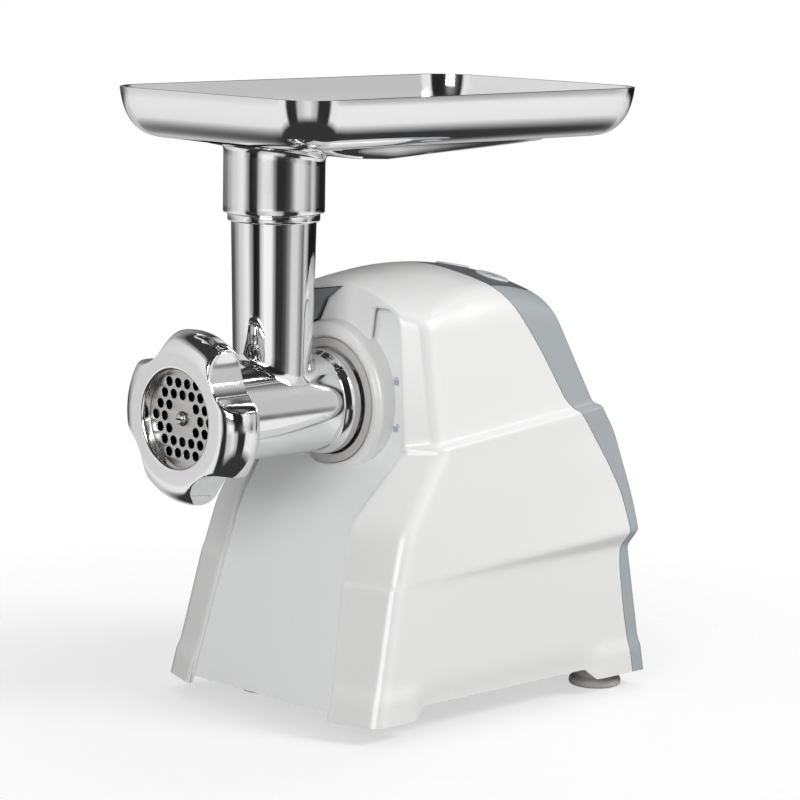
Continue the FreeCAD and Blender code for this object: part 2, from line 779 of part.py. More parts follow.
def rounded_pan(name, inset):
    """The tray's pan as a solid, with round corners and a round bottom edge."""
    low = f"tray_rim_z-tray_depth+({inset})"
    body = rounded_rectangle(
        name, "tray_width", "tray_front_y", "tray_length", low, f"tray_depth+({inset})",
        "tray_corner", inset,
    )
    floor = value(low)
    round_edges(
        body, name + "_bottom", f"tray_base_round-({inset})",
        lambda edge: abs(edge.BoundBox.ZMax - floor) < 0.01,
    )
    return body


def ramped_well(name, inset):
    """The sunken floor of the tray, deepest round the feed tube and rising to the front and rear."""
    base = f"tray_rim_z-tray_depth+({inset})"
    low = f"{base}-well_drop"
    block = rounded_rectangle(
        name, "well_width", "well_front_y", "well_length", low, "well_drop+tray_sheet*1.5",
        "well_corner", inset,
    )
    rear, shallow, top = "well_front_y+well_length", f"{base}-well_rear_drop", f"{base}+5"
    side = padded(
        name + "_side", "YZ_Plane",
        (("well_front_y", base), ("well_front_y+well_ramp", low), ("well_deep_end_y", low),
         ("well_rise_end_y", shallow), (rear, shallow), (rear, top), ("well_front_y", top)),
        "well_width", both_ways=True,
    )
    return common(name + "_ramped", block, side)


# Socket, liner and release catch


def build_socket():
    """Socket ring on the front panel and the liner that holds the head's lugs."""
    node(turned("socket_turning", (
        ("socket_bore_r", "collar_y+0.6"), ("socket_bore_r+1.2", "collar_y-0.6"),
        ("socket_front_r-3", "collar_y"), ("socket_front_r-0.6", "collar_y+1.4"),
        ("socket_base_r", "collar_y+9"), ("socket_base_r", -17.9), (49.4, -17.9), (49.4, -15.9),
        ("socket_bore_r", -15.9),
    )), "head_socket")
    liner = turned("liner_turning", (
        ("liner_bore_r", "liner_front_y+2"), ("liner_bore_r+2", "liner_front_y+2"),
        ("socket_bore_r-2.5", "liner_front_y"), ("socket_bore_r", "liner_front_y+0.6"),
        ("socket_bore_r", -12.5), (33.4, -12.5), (33.4, "liner_end_y"), ("liner_bore_r", "liner_end_y"),
    ))
    slots = []
    for index, lug_angle in enumerate(LUG_ANGLES):
        angle = lug_angle - LOCK_TURN
        corner = block_corner(angle, value("entry_root_r"), value("entry_width"), -35)
        slots.append(box(f"entry_{index}", (6, 14, "entry_width"), corner, Rotation(Y_AXIS, -angle)))
    catch = catch_block("catch_slot", 10, 33, 60, -20.5, 12)
    node(cut("liner_cut", liner, fuse("liner_spaces", slots + [catch])), "socket_liner")


def catch_block(name, width, inner, outer, start, depth):
    """Block that points away from the head axis at the catch's angle."""
    corner = block_corner(CATCH_ANGLE, inner, width, start)
    return box(name, (outer - inner, depth, width), corner, Rotation(Y_AXIS, -CATCH_ANGLE))


def build_release_lever():
    """Press lever above the socket, with the arm that reaches the head's lug."""
    front = value("lever_front_y")
    lever = lever_block("lever_face", 0, front, value("lever_back_y") - front)
    arc_space = rod("lever_arc", "socket_base_r+0.8", 30, (0, -50, "axis_z"))
    face = cut("lever_cut", lever, arc_space)
    stem = catch_block("lever_stem", 7, 50.4, 59, -25, 11)
    arm = catch_block("lever_arm", 7, 29.8, 59, -15, 3)
    nose = catch_block("lever_nose", 7, 29.8, 32.6, -16.5, 3)
    node(fuse("lever_fused", (face, stem, arm, nose)), "release_lever")


# Gear train


def involute_flank(base_r, low_r, high_r, steps=6):
    """Polar points of an involute from a low to a high radius, as radius and roll angle."""
    points = []
    for step in range(steps + 1):
        radius = max(low_r, base_r) + (high_r - max(low_r, base_r)) * step / steps
        roll = math.sqrt(max((radius / base_r) ** 2 - 1, 0))
        points.append((radius, roll - math.atan(roll)))
    return points


def gear_wire(module, teeth, addendum, first_tooth):
    """Closed involute outline with the middle of one tooth at an angle in degrees."""
    pitch_r = module * teeth / 2
    base_r = pitch_r * math.cos(math.radians(20))
    tip_r = pitch_r + addendum * module
    root_r = pitch_r - 1.25 * module
    involute_at_pitch = math.tan(math.radians(20)) - math.radians(20)
    half_tooth = math.pi / (2 * teeth) - value("tooth_slack") / (2 * pitch_r)
    flank = involute_flank(base_r, root_r, tip_r)

    def point(radius, angle):
        return Vector(radius * math.cos(angle), radius * math.sin(angle), 0)

    edges = []
    for tooth in range(int(teeth)):
        middle = math.radians(first_tooth) + 2 * math.pi * tooth / teeth
        rising, falling = [], []
        for radius, roll in flank:
            half = half_tooth + involute_at_pitch - roll
            rising.append(point(radius, middle - half))
            falling.append(point(radius, middle + half))
        root_half = half_tooth + involute_at_pitch
        root_start = point(root_r, middle - root_half)
        root_end = point(root_r, middle + root_half)
        next_start = point(root_r, middle + 2 * math.pi / teeth - root_half)
        if root_r < base_r - 1e-6:
            edges.append(Part.LineSegment(root_start, rising[0]).toShape())
        else:
            rising[0], falling[0] = root_start, root_end
        edges.append(curve_through(rising))
        edges.append(Part.Arc(rising[-1], point(tip_r, middle), falling[-1]).toShape())
        edges.append(curve_through(falling[::-1]))
        if root_r < base_r - 1e-6:
            edges.append(Part.LineSegment(falling[0], root_end).toShape())
        between = middle + math.pi / teeth
        edges.append(Part.Arc(root_end, point(root_r, between), next_start).toShape())
    return Part.Wire(edges)


def curve_through(points):
    curve = Part.BSplineCurve()
    curve.interpolate(points)
    return curve.toShape()


def gear_solid(module, teeth, addendum, first_tooth, start, width, centre_z):
    """Straight gear that runs along +Y from a start place."""
    face = Part.Face(gear_wire(module, teeth, addendum, first_tooth))
    solid = face.extrude(Vector(0, 0, width))
    turned_up = Placement(Vector(0, start + width, centre_z), Rotation(X_AXIS, 90))
    return solid.transformGeometry(turned_up.toMatrix())


def shape_object(name, shape):
    feature = doc.addObject("Part::Feature", name)
    feature.Shape = shape
    return feature


def bored(shape, radius, start, length, centre_z):
    """The shape with a round bore along Y."""
    centre = Vector(0, start - 1, centre_z)
    return shape.cut(Part.makeCylinder(radius, length + 2, centre, Y_AXIS))


def train_heights():
    """Heights of the output axis, the idler axis and the motor axis."""
    teeth = value("pinion_teeth")
    output_z = value("axis_z")
    idler_z = output_z - value("output_module") * (value("output_teeth") + teeth) / 2
    motor_z = idler_z - value("first_module") * (value("first_teeth") + teeth) / 2
    return output_z, idler_z, motor_z


def build_gears():
    """Two meshing pairs: motor pinion to idler wheel, idler pinion to output wheel."""
    output_z, idler_z, motor_z = train_heights()
    pinion_teeth = value("pinion_teeth")
    half_step_output = 180 / value("output_teeth")
    half_step_first = 180 / value("first_teeth")
    output = gear_solid(
        value("output_module"), value("output_teeth"), 0.7, 90 + half_step_output, 2, 16, output_z
    )
    output = bored(output, value("output_shaft_r"), 2, 16, output_z)
    node(shape_object("output_wheel", output), "output_gear")

    wheel = gear_solid(
        value("first_module"), value("first_teeth"), 0.7, 90 + half_step_first, 21, 9, idler_z
    )
    pinion = gear_solid(value("output_module"), pinion_teeth, 1.0, 90, 1.5, 19.5, idler_z)
    hub = Part.makeCylinder(8, 2.6, Vector(0, 30, idler_z), Y_AXIS)
    idler = bored(wheel.fuse([pinion, hub]), value("idler_pin_r") + 0.05, 1.5, 32, idler_z)
    node(shape_object("idler_gear", idler), "intermediate_gear")

    drive = gear_solid(value("first_module"), pinion_teeth, 1.0, 90, 20, 11.5, motor_z)
    drive = bored(drive, value("motor_shaft_r"), 20, 12, motor_z)
    node(shape_object("drive_pinion", drive), "motor_pinion")


def gearbox_outline(name, inset, length, offset):
    """Padded gearbox outline with rounded corners, moved inwards by an expression."""
    half = f"gearbox_width/2-({inset})"
    low = f"gearbox_low_z+({inset})"
    top = f"gearbox_top_z-({inset})"
    body = padded(
        name, "XZ_Plane", ((half, low), (half, top), (f"-({half})", top), (f"-({half})", low)),
        length, offset=offset,
    )
    round_edges(body, name + "_corners", f"14-({inset})", is_line_along(Y_AXIS))
    return body


def build_gearbox():
    """Gear case, its cover, the bearings, the idler pin and the screws."""
    _, idler_z, motor_z = train_heights()
    case = gearbox_outline("case_outer", 0, "gearbox_end_y-gearbox_front_y", "-gearbox_end_y")
    space = gearbox_outline(
        "case_space", "gear_wall", "gearbox_end_y-gearbox_front_y-gear_wall+1", "-gearbox_end_y-1"
    )
    hollow = cut("case_hollow", case, space)
    posts = [
        rod(f"case_post_{i}", "screw_post_r", "gearbox_end_y-gearbox_front_y", (x, "gearbox_front_y", z))
        for i, (x, z) in enumerate(SCREW_SPOTS)
    ]
    nose = rod("bearing_nose", 23, 6, (0, -9, "axis_z"))
    solid = fuse("case_solid", [hollow, nose] + posts)
    seat = rod("bearing_seat", 19, 20, (0, -12, "axis_z"))
    pin_hole = rod("case_pin_hole", "idler_pin_r", 8, (0, -6, idler_z))
    post_holes = [rod(f"post_hole_{i}", "bolt_r", 14, (x, 20.5, z)) for i, (x, z) in enumerate(SCREW_SPOTS)]
    node(cut("case_cut", solid, fuse("case_holes", [seat, pin_hole] + post_holes)), "gearbox_housing")

    cover = gearbox_outline("cover_plate", 0, "gear_wall", "-gearbox_end_y-gear_wall")
    output_boss = rod("output_boss", 14.5, 6, (0, 31, "axis_z"))
    motor_boss = rod("motor_boss", 13, 8, (0, 33, motor_z))
    cover_solid = fuse("cover_solid", (cover, output_boss, motor_boss))
    holes = [
        rod("output_seat", 12.5, 10, (0, 30, "axis_z")),
        rod("motor_seat", 9.5, 12, (0, 31, motor_z)),
        rod("cover_pin_hole", "idler_pin_r", 8, (0, 32, idler_z)),
    ]
    holes += [rod(f"cover_hole_{i}", "bolt_r", 8, (x, 32, z)) for i, (x, z) in enumerate(SCREW_SPOTS)]
    holes += [rod(f"cover_bolt_hole_{i}", "bolt_r", 8, (x, 32, z)) for i, (x, z) in enumerate(bolt_spots())]
    node(cut("cover_cut", cover_solid, fuse("cover_holes", holes)), "gearbox_cover")

    node(ring("front_bush", 19, "output_shaft_r+0.05", -9, 8), "output_bearing")
    node(ring("rear_bush", 12.5, 8.05, 31, 6), "rear_output_bearing")
    node(rod("idler_pin_rod", "idler_pin_r", 41, (0, "gearbox_front_y", idler_z)), "idler_pin")
    screws = []
    for i, (x, z) in enumerate(SCREW_SPOTS):
        shank = rod(f"gearbox_shank_{i}", "bolt_r", 14, (x, 23, z))
        head = rod(f"gearbox_head_{i}", 3.8, 2.6, (x, 37, z))
        screws.append(fuse(f"gearbox_screw_{i}", (shank, head)))
    node(group("gearbox_screw_set", screws), "gearbox_screws")


# Motor


def bolt_spots():
    """X and Z of the four long bolts that hold the motor together."""
    motor_z = train_heights()[2]
    reach, rise = value("bolt_x"), value("bolt_rise")
    return [(x, motor_z + z) for x in (-reach, reach) for z in (-rise, rise)]


def motor_ring(name, outer, inner, start, length):
    """A ring about the motor axis."""
    body = ring(name, outer, inner, start, length)
    place(body, (0, 0, train_heights()[2]))
    return body


def build_rotor():
    """Motor shaft, armature, windings, commutator and fan."""
    motor_z = train_heights()[2]
    node(rod("rotor_shaft", "motor_shaft_r", 111, (0, 20, motor_z)), "motor_shaft")

    body = new_body("armature_body")
    sketch = new_sketch(body, "armature_outline", "XZ_Plane")
    draw_circle(sketch, "rotor_r")
    draw_circle(sketch, "motor_shaft_r")
    pad = body.newObject("PartDesign::Pad", "armature_pad")
    pad.Profile = sketch
    bind(pad, Length="stator_depth")
    slot = new_sketch(body, "slot_outline", "XZ_Plane")
    draw_outline(slot, ((-1.6, 13), (1.6, 13), (1.6, 26), (-1.6, 26)))
    pocket = body.newObject("PartDesign::Pocket", "slot")
    pocket.Profile = slot
    pocket.Type = "ThroughAll"
    pocket.SideType = "Symmetric"
    doc.recompute()
    pattern = body.newObject("PartDesign::PolarPattern", "slots")
    pattern.Originals = [pocket]
    pattern.Axis = (slot, ["N_Axis"])
    pattern.Angle = 360
    pattern.Occurrences = 12
    body.Tip = pattern
    place(body, (0, "stator_front_y+stator_depth", motor_z))
    node(body, "armature_core")

    node(group("armature_coils", (
        motor_ring("winding_front", 19, "motor_shaft_r", "stator_front_y-7", 7),
        motor_ring("winding_rear", 19, "motor_shaft_r", "stator_front_y+stator_depth", 7),
    )), "armature_windings")
    node(motor_ring("commutator_ring", 12, "motor_shaft_r", 108, 14), "commutator")

    hub = motor_ring("fan_hub", 9, "motor_shaft_r", 43, 9)
    disc = motor_ring("fan_disc", 33, "motor_shaft_r", 43, 1.6)
    blades = []
    for index in range(12):
        turn = math.radians(30 * index)
        corner = (8 * math.cos(turn), 44, motor_z + 8 * math.sin(turn))
        blades.append(box(f"blade_{index}", (24, 8, 1.4), corner, Rotation(Y_AXIS, -30 * index)))
    node(fuse("fan_fused", [hub, disc] + blades), "cooling_fan")


def field_coil(name, side, motor_z):
    """Saddle coil round the upper or lower pole; side is +1 or -1."""
    front, rear = value("stator_front_y") - 6, value("stator_front_y + stator_depth")
    low, high = (4, 33) if side > 0 else (-33, -4)
    bar_low = 4 if side > 0 else -16
    cross_low = 25 if side > 0 else -33
    parts = []
    for x in (-31.5, 24.5):
        parts.append(box(f"{name}_bar_{x:.0f}", (7, rear + 6 - front, 12), (x, front, motor_z + bar_low)))
        for y in (front, rear):
            corner = (x, y, motor_z + low)
            parts.append(box(f"{name}_riser_{x:.0f}_{y:.0f}", (7, 6, high - low), corner))
    for y in (front, rear):
        parts.append(box(f"{name}_cross_{y:.0f}", (63, 6, 8), (-31.5, y, motor_z + cross_low)))
    return fuse(name, parts)


def build_motor():
    """Stator, coils, bearings, brushes, rear bracket, spacers and bolts."""
    motor_z = train_heights()[2]
    front, depth = "stator_front_y", "stator_depth"
    block = centred_box("stator_block", ("stator_width", depth, "stator_tall"), (0, front, motor_z - 36))
    spaces = [rod("stator_bore", "stator_bore_r", 60, (0, 50, motor_z))]
    spaces += [box(f"window_{x}", (17, 60, 34), (x, 50, motor_z - 17)) for x in (-36, 19)]
    spaces += [rod(f"stator_hole_{i}", "bolt_r", 60, (x, 50, z)) for i, (x, z) in enumerate(bolt_spots())]
    node(cut("stator_cut", block, fuse("stator_spaces", spaces)), "stator_core")
    coils = [field_coil("coil_upper", 1, motor_z), field_coil("coil_lower", -1, motor_z)]
    node(group("coil_pair", coils), "field_coils")

    node(motor_ring("front_bearing_ring", 9.5, "motor_shaft_r+0.05", 33, 8), "motor_front_bearing")
    node(motor_ring("rear_bearing_ring", 8, "motor_shaft_r+0.05", "bracket_y-2", 6), "motor_rear_bearing")

    plate = centred_box("bracket_plate", ("stator_width", 3, 72), (0, "bracket_y", motor_z - 36))
    boss = rod("bracket_boss", 11, 6, (0, "bracket_y-2", motor_z))
    rests = [box(f"brush_rest_{x}", (18, 16, 2), (x, "bracket_y-16", motor_z - 8)) for x in (-34, 16)]
    vents = [box(f"vent_{x}_{z}", (16, 20, 13), (x, 120, motor_z + z)) for x in (-29, 13) for z in (-30, 17)]
    seat = rod("rear_seat", 8, 12, (0, "bracket_y-4", motor_z))
    bolt_holes = [
        rod(f"bracket_hole_{i}", "bolt_r", 12, (x, "bracket_y-4", z)) for i, (x, z) in enumerate(bolt_spots())
    ]
    bracket = fuse("bracket_solid", [plate, boss] + rests)
    node(cut("bracket_cut", bracket, fuse("bracket_spaces", vents + [seat] + bolt_holes)), "motor_bracket")

    holders, brushes = [], []
    for side, x in ((-1, -34), (1, 16)):
        outer = box(f"holder_outer_{side}", (18, 10, 12), (x, 110, motor_z - 6))
        inner = box(f"holder_inner_{side}", (20, 7, 8), (x - 1, 111.5, motor_z - 4))
        holders.append(cut(f"holder_{side}", outer, inner))
        brush_x = 12.1 if side > 0 else -32.1
        brushes.append(box(f"brush_{side}", (20, 7, 8), (brush_x, 111.5, motor_z - 4)))
    node(group("holder_pair", holders), "brush_holders")
    node(group("brush_pair", brushes), "carbon_brushes")

    spacers, bolts = [], []
    for i, (x, z) in enumerate(bolt_spots()):
        for part, start, end in (("front", 37, 62), ("rear", 98, 126)):
            sleeve = rod(f"sleeve_{part}_{i}", 3.6, end - start, (x, start, z))
            hole = rod(f"sleeve_hole_{part}_{i}", "bolt_r", end - start + 2, (x, start - 1, z))
            spacers.append(cut(f"spacer_{part}_{i}", sleeve, hole))
        shank = rod(f"bolt_shank_{i}", "bolt_r", 98, (x, 31.5, z))
        head = rod(f"bolt_head_{i}", 3.6, 3, (x, 129, z))
        bolts.append(fuse(f"bolt_{i}", (shank, head)))
    node(group("spacer_set", spacers), "motor_spacers")
    node(group("bolt_set", bolts), "motor_bolts")

    uprights = [box(f"cradle_side_{x}", (6, 26, 28), (x, 67, 20)) for x in (-30, 24)]
    floor = box("cradle_floor", (66, 30, 5), (-33, 65, "base_z+base_thick"))
    node(fuse("cradle", [floor] + uprights), "motor_cradle")


# Controls


def roof_point(x):
    """Point on the roof over the buttons' line, and its lean about Y in degrees."""
    y = value("panel_y")
    before = max(arch for arch in ROOF if arch[0] <= y)
    after = min(arch for arch in ROOF if arch[0] > y)
    share = (y - before[0]) / (after[0] - before[0])
    top = before[1] + (after[1] - before[1]) * share
    radius = before[2] + (after[2] - before[2]) * share
    drop = radius - math.sqrt(radius**2 - x**2)
    return Vector(x, y, top - drop), math.degrees(math.asin(x / radius))


def tilt_to_roof(thing, across, at):
    """Place a thing drawn about a point of the roof so that its own Z is square to the roof."""
    origin, lean = roof_point(across)
    tilt = Rotation(X_AXIS, value("panel_tilt")).multiply(Rotation(Y_AXIS, lean))
    local = Placement(Vector(*map(value, at)), Rotation())
    thing.Placement = Placement(origin, tilt).multiply(local)
    for axis in "xyz":
        thing.setExpression(f"Placement.Base.{axis}", None)
    return thing


def panel_window(name, inset):
    """Block with the control panel's outline, made smaller by an expression."""
    wide = f"panel_width-2*({inset})"
    block = box(name, (wide, f"panel_front+panel_rear-({inset})", 40), (0, 0, 0))
    return tilt_to_roof(block, 0, (f"-({wide})/2", "-panel_front", -20))


def build_controls():
    """Control panel, three push buttons, their switches and the control board."""
    skin = cut("roof_skin", doc.getObject("shell_outside"), roof_space("under_panel", "panel_thick"))
    patch = common("panel_patch", skin, panel_window("panel_outline_block", 0.15))
    plate = cut("panel_blank", patch, doc.getObject("front_part"))
    spots = [(-1, "reverse_button"), (0, "off_button"), (1, "on_button")]
    pitch = value("button_pitch")
    holes = []
    for index, _ in spots:
        hole = upright(f"button_hole_{index}", "button_r+0.3", 20, (0, 0, 0))
        holes.append(tilt_to_roof(hole, index * pitch, (0, 0, -10)))
    node(cut("panel_cut", plate, fuse("button_holes", holes)), "control_panel")

    for index, label in spots:
        parts = (
            (upright(f"{label}_cap", "button_r", 6.8, (0, 0, 0)), -5),
            (upright(f"{label}_collar", "button_r+1.5", 1.5, (0, 0, 0)), -5.2),
            (upright(f"{label}_stem", 3, 6.5, (0, 0, 0)), -11.5),
        )
        pieces = [tilt_to_roof(part, index * pitch, (0, 0, low)) for part, low in parts]
        node(fuse(f"{label}_fused", pieces), label)

    board = box("board_blank", (100, 32, 1.6), (0, 0, 0))
    node(tilt_to_roof(board, 0, (-50, -16, -26.6)), "control_board")
    switches = []
    for index, _ in spots:
        tall = 10.4 if index == 0 else 6.4
        switch = box(f"switch_{index}", (11, 11, tall), (0, 0, 0))
        switches.append(tilt_to_roof(switch, 0, (31.4 * index - 5.5, -5.5, -25)))
    node(group("switch_set", switches), "button_switches")
    legs = []
    for x in (-47, 47):
        leg = box(f"board_leg_{x}", (4, 4, 12), (0, 0, 0))
        legs.append(tilt_to_roof(leg, 0, (x - 2, -15, -25)))
    node(group("board_leg_set", legs), "board_posts")


def build_power_board():
    """Power board over the motor with its relay, capacitor and choke."""
    top = train_heights()[2] + 36
    posts = [
        upright(f"power_post_{x}_{y}", 3, 24, (x, y, top)) for x in (-32, 32) for y in (67, 93)
    ]
    node(group("power_post_set", posts), "power_board_posts")
    node(box("power_blank", (84, 46, 1.6), (-42, 57, top + 24)), "power_board")
    relay = box("relay", (20, 16, 16), (-34, 62, top + 25.6))
    capacitor = upright("capacitor", 8, 18, (0, 82, top + 25.6))
    choke = upright("choke", 9, 9, (26, 76, top + 25.6))
    node(group("power_parts", (relay, capacitor, choke)), "power_components")


# Base, feet, cord inlet and screws


def base_outline(inset):
    """Base plate outline just inside the housing's lowest level."""
    return level_corners((0, 0, (62.0, -79.8), (87.4, -70.4), (87.0, 145.6)), inset)


def build_base():
    """Base plate with its screw pillars, four feet, and the screws from below."""
    feet = [
        ("foot_front_left", "-foot_front_x", "foot_front_y"),
        ("foot_front_right", "foot_front_x", "foot_front_y"),
        ("foot_rear_left", "-foot_rear_x", "foot_rear_y"),
        ("foot_rear_right", "foot_rear_x", "foot_rear_y"),
    ]
    plate = padded("base_blank", "XY_Plane", base_outline(1.2), "base_thick", offset="base_z")
    pillars = [
        upright(f"pillar_{label}", 6, 12, (x, y, "base_z+base_thick")) for label, x, y in feet
    ]
    holes = [upright(f"foot_hole_{label}", "foot_screw_r", 20, (x, y, "base_z-1")) for label, x, y in feet]
    holes += [
        upright(f"base_hole_{i}", "base_screw_r", 10, (x, y, "base_z-2"))
        for i, (x, y) in enumerate(BASE_SCREW_SPOTS)
    ]
    base = fuse("base_solid", [plate] + pillars)
    node(cut("base_cut", base, fuse("base_holes", holes)), "base_plate")

    foot_screws = []
    for label, x, y in feet:
        foot = turned(f"{label}_turning", (
            (4.2, 0), ("foot_r-1.5", 0), ("foot_r", 1.5), ("foot_r", 4.5), ("foot_r-1.2", 6),
            ("foot_neck_r", 6.6), ("foot_neck_r", "base_z"), ("foot_screw_r", "base_z"),
            ("foot_screw_r", 5), (4.2, 5),
        ), upright=True)
        node(place(foot, (x, y, 0)), label)
        shank = upright(f"shank_{label}", "foot_screw_r", "foot_screw_length", (x, y, 3))
        head = upright(f"head_{label}", 3.8, 2.4, (x, y, 2.6))
        foot_screws.append(fuse(f"screw_{label}", (shank, head)))
    node(group("foot_screw_set", foot_screws), "foot_screws")

    base_screws = []
    for i, (x, y) in enumerate(BASE_SCREW_SPOTS):
        shank = upright(f"base_shank_{i}", "base_screw_r", 14, (x, y, "base_z-1.8"))
        head = upright(f"base_head_{i}", "2*base_screw_r", 1.8, (x, y, "base_z-1.8"))
        base_screws.append(fuse(f"base_screw_{i}", (shank, head)))
    node(group("base_screw_set", base_screws), "base_screws")

    grommet = turned("grommet", (
        ("cord_r", 136), ("grommet_r", 136), ("grommet_r", 145.6), ("grommet_r+2.2", 145.6),
        ("grommet_r+1.8", 148.4), ("grommet_r-0.2", 149.8), ("cord_r", 149.8),
    ))
    node(place(grommet, ("cord_x", 0, "cord_z")), "cord_inlet")


def check_and_write():
    """Stop on any failed object or bad shape, then write one file for each piece."""
    doc.recompute()
    for item in doc.Objects:
        if "Invalid" in item.State or "Error" in item.State:
            raise RuntimeError(f"{item.Name} ({item.Label}) did not build: {item.State}")
    for item in nodes:
        shape = item.Shape
        if shape.isNull() or not shape.isValid() or not shape.Solids:
            raise RuntimeError(f"{item.Label} has no valid solid")
    os.makedirs("parts", exist_ok=True)
    for item in nodes:
        item.Shape.exportStep(f"parts/{item.Label}.step")
        print(f"{item.Label}: {len(item.Shape.Solids)} solid(s), {item.Shape.Volume:.0f} mm3")


fill_sheet()
build_housing(build_shell())
build_head()
build_feed_tube()
build_plate()
build_ring_nut()
build_auger()
build_knife()
build_drive_line()
build_tray()
build_socket()
build_release_lever()
build_gears()
build_gearbox()
build_rotor()
build_motor()
build_controls()
build_power_board()
build_base()
check_and_write()
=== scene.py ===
"""Looks of the electric meat grinder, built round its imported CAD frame.

Sizes and tables are in millimetres in the frame's own axes: +Z up, the head points to -Y. Meshes are
in metres. The third number in a row of an outline is how far the corner's bend reaches.
"""

import json
import math

import bmesh
import bpy
import numpy as np
from mathutils import Matrix, Vector


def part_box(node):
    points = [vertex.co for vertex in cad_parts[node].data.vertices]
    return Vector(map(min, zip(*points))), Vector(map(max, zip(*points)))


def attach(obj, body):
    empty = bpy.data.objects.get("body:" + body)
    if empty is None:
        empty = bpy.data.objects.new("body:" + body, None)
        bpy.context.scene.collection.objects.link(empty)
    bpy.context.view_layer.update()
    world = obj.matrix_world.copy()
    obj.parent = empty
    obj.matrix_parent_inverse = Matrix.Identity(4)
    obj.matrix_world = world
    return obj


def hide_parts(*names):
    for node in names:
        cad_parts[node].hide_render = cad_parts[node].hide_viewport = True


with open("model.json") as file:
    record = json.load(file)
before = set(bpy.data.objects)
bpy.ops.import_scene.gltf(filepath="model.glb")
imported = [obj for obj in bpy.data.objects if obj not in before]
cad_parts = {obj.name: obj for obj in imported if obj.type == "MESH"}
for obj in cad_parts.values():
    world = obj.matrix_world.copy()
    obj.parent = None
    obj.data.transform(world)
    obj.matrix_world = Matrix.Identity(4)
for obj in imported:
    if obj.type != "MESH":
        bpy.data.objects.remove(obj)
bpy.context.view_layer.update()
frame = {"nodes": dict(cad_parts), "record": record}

MM = 0.001
X, Y, Z = 0, 1, 2


def span(node, axis):
    """Lowest and highest place of a CAD node along an axis."""
    low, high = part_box(node)
    return round(low[axis] / MM, 1), round(high[axis] / MM, 1)


def middle(node, axis):
    """Place of a CAD node's middle along an axis."""
    return sum(span(node, axis)) / 2


AXIS_Z = middle("head_socket", Z)
TUBE_Y = middle("feed_tube", Y)
HEAD_AXIS = ((0, 0, AXIS_Z), "y")

# Housing outline at rising levels: height at Y=0, tilt of the level about X in degrees, facet
# front edge, facet outer edge, rear corner (X, Y), and how far the bend at that level reaches.
LEVELS = (
    (10, 0, (62.8, -85.5), (91.5, -75.3), (91.0, 150.0), 0),
    (86, 0.6, (53.8, -68.4), (86.2, -57.3), (85.5, 140.5), 3),
    (90.6, 2.67, (53.2, -67.0), (85.9, -56.0), (90.0, 145.6), 2.2),
    (118, 0, (50.0, -61.0), (84.0, -46.0), (85.5, 143.5), 9),
    (158, 0, (60.0, -29.0), (80.3, -17.0), (79.5, 132.5), 5),
    (163.4, 4.93, (60.0, -28.9), (80.0, -15.6), (78.0, 123.5), 1.6),
    (165.4, 4.93, (59.2, -28.7), (75.6, -15.3), (73.6, 120.0), 3),
    (241, 0, (52.0, -27.0), (65.0, -16.0), (62.5, 90.0), 6),
    (275, 0, (48.3, -26.0), (58.2, -16.0), (57.4, 74.0), 0),
)
REAR_CHAMFER = 3
# Steps of the mesh between one level and the next.
LEVEL_STEPS = (20, 2, 5, 8, 2, 2, 26, 12)

# Arches of the crowned roof: Y, height in the middle, crown radius.
ROOF = ((-110, 226, 100), (-28, 252, 105), (-8, 255.8, 120), (26, 259.3, 145), (49, 259, 160),
        (70, 255.8, 168), (92, 248.8, 175), (160, 226, 180))

# Line between the white housing and the grey rear cover: Y, Z, reach of the bend.
SEAM = (
    (138, 10, 0), (132.5, 48, 8), (130, 77, 5), (131, 89, 4), (136, 96, 4), (132, 120, 9),
    (122, 140, 10), (108, 163, 4), (102, 171.5, 4), (93, 180, 4), (75, 213, 12), (61, 233, 8),
    (50, 248, 6), (41, 258, 4), (41, 290, 0),
)

# Front of the recessed front panel: Y, Z, reach of the bend.
PANEL_FACE = ((-84.3, 8, 0), (-59, 118, 9), (-25, 158, 11), (-21.5, 246, 0))

# Right half of the recess: X, Z, reach of the bend. It runs round the hood over the socket.
RECESS = ((60.5, 8, 0), (48, 118, 9), (57.5, 156, 6), (53, 231, 3), (46, 240, 4), (31.4, 240, 2.5),
          (27.8, 212, 2), (24, 205, 2))
PANEL_TRIM = ((60, 14, 0), (47.8, 118, 9), (57.3, 156, 6), (52.8, 231, 3), (45.8, 239.8, 4))

# Release lever: X, Z, reach of the bend, for the corners that don't lie on the socket.
LEVER_TOP = ((-41, 226, 3), (-37.5, 243, 3), (4.2, 249.8, 1.2), (-7.4, 241.6, 3))
LEVER_ARC = (107, 141, 48.4)

# Buttons by their place across the roof, in pitches from the middle, and the control panel's frame.
BUTTONS = ((-1, "reverse_button"), (0, "off_button"), (1, "on_button"))
BUTTON_PITCH = 34
PANEL_Y = 68
PANEL_TILT = -11

# Tray: rim, underside of the flat base, how far the round bottom edge reaches in from the rim, sheet.
TRAY_RIM = span("hopper_tray", Z)[1]
TRAY_BASE = TRAY_RIM - 29
BASE_INSET = 22.5
SHEET = 1.5
# Sunken floor of the tray: width, front, rear and corner, and the underside's Y and Z along it.
WELL = (118, -111, 112, 45)
WELL_FLOOR = ((-111, 336), (-100, 335.3), (-84, 332.6), (-66, 329.4), (-40, 328.1), (0, 330), (40, 331.8),
              (75, 333.6), (112, 333.8))

FEET = ("foot_front_left", "foot_front_right", "foot_rear_left", "foot_rear_right")

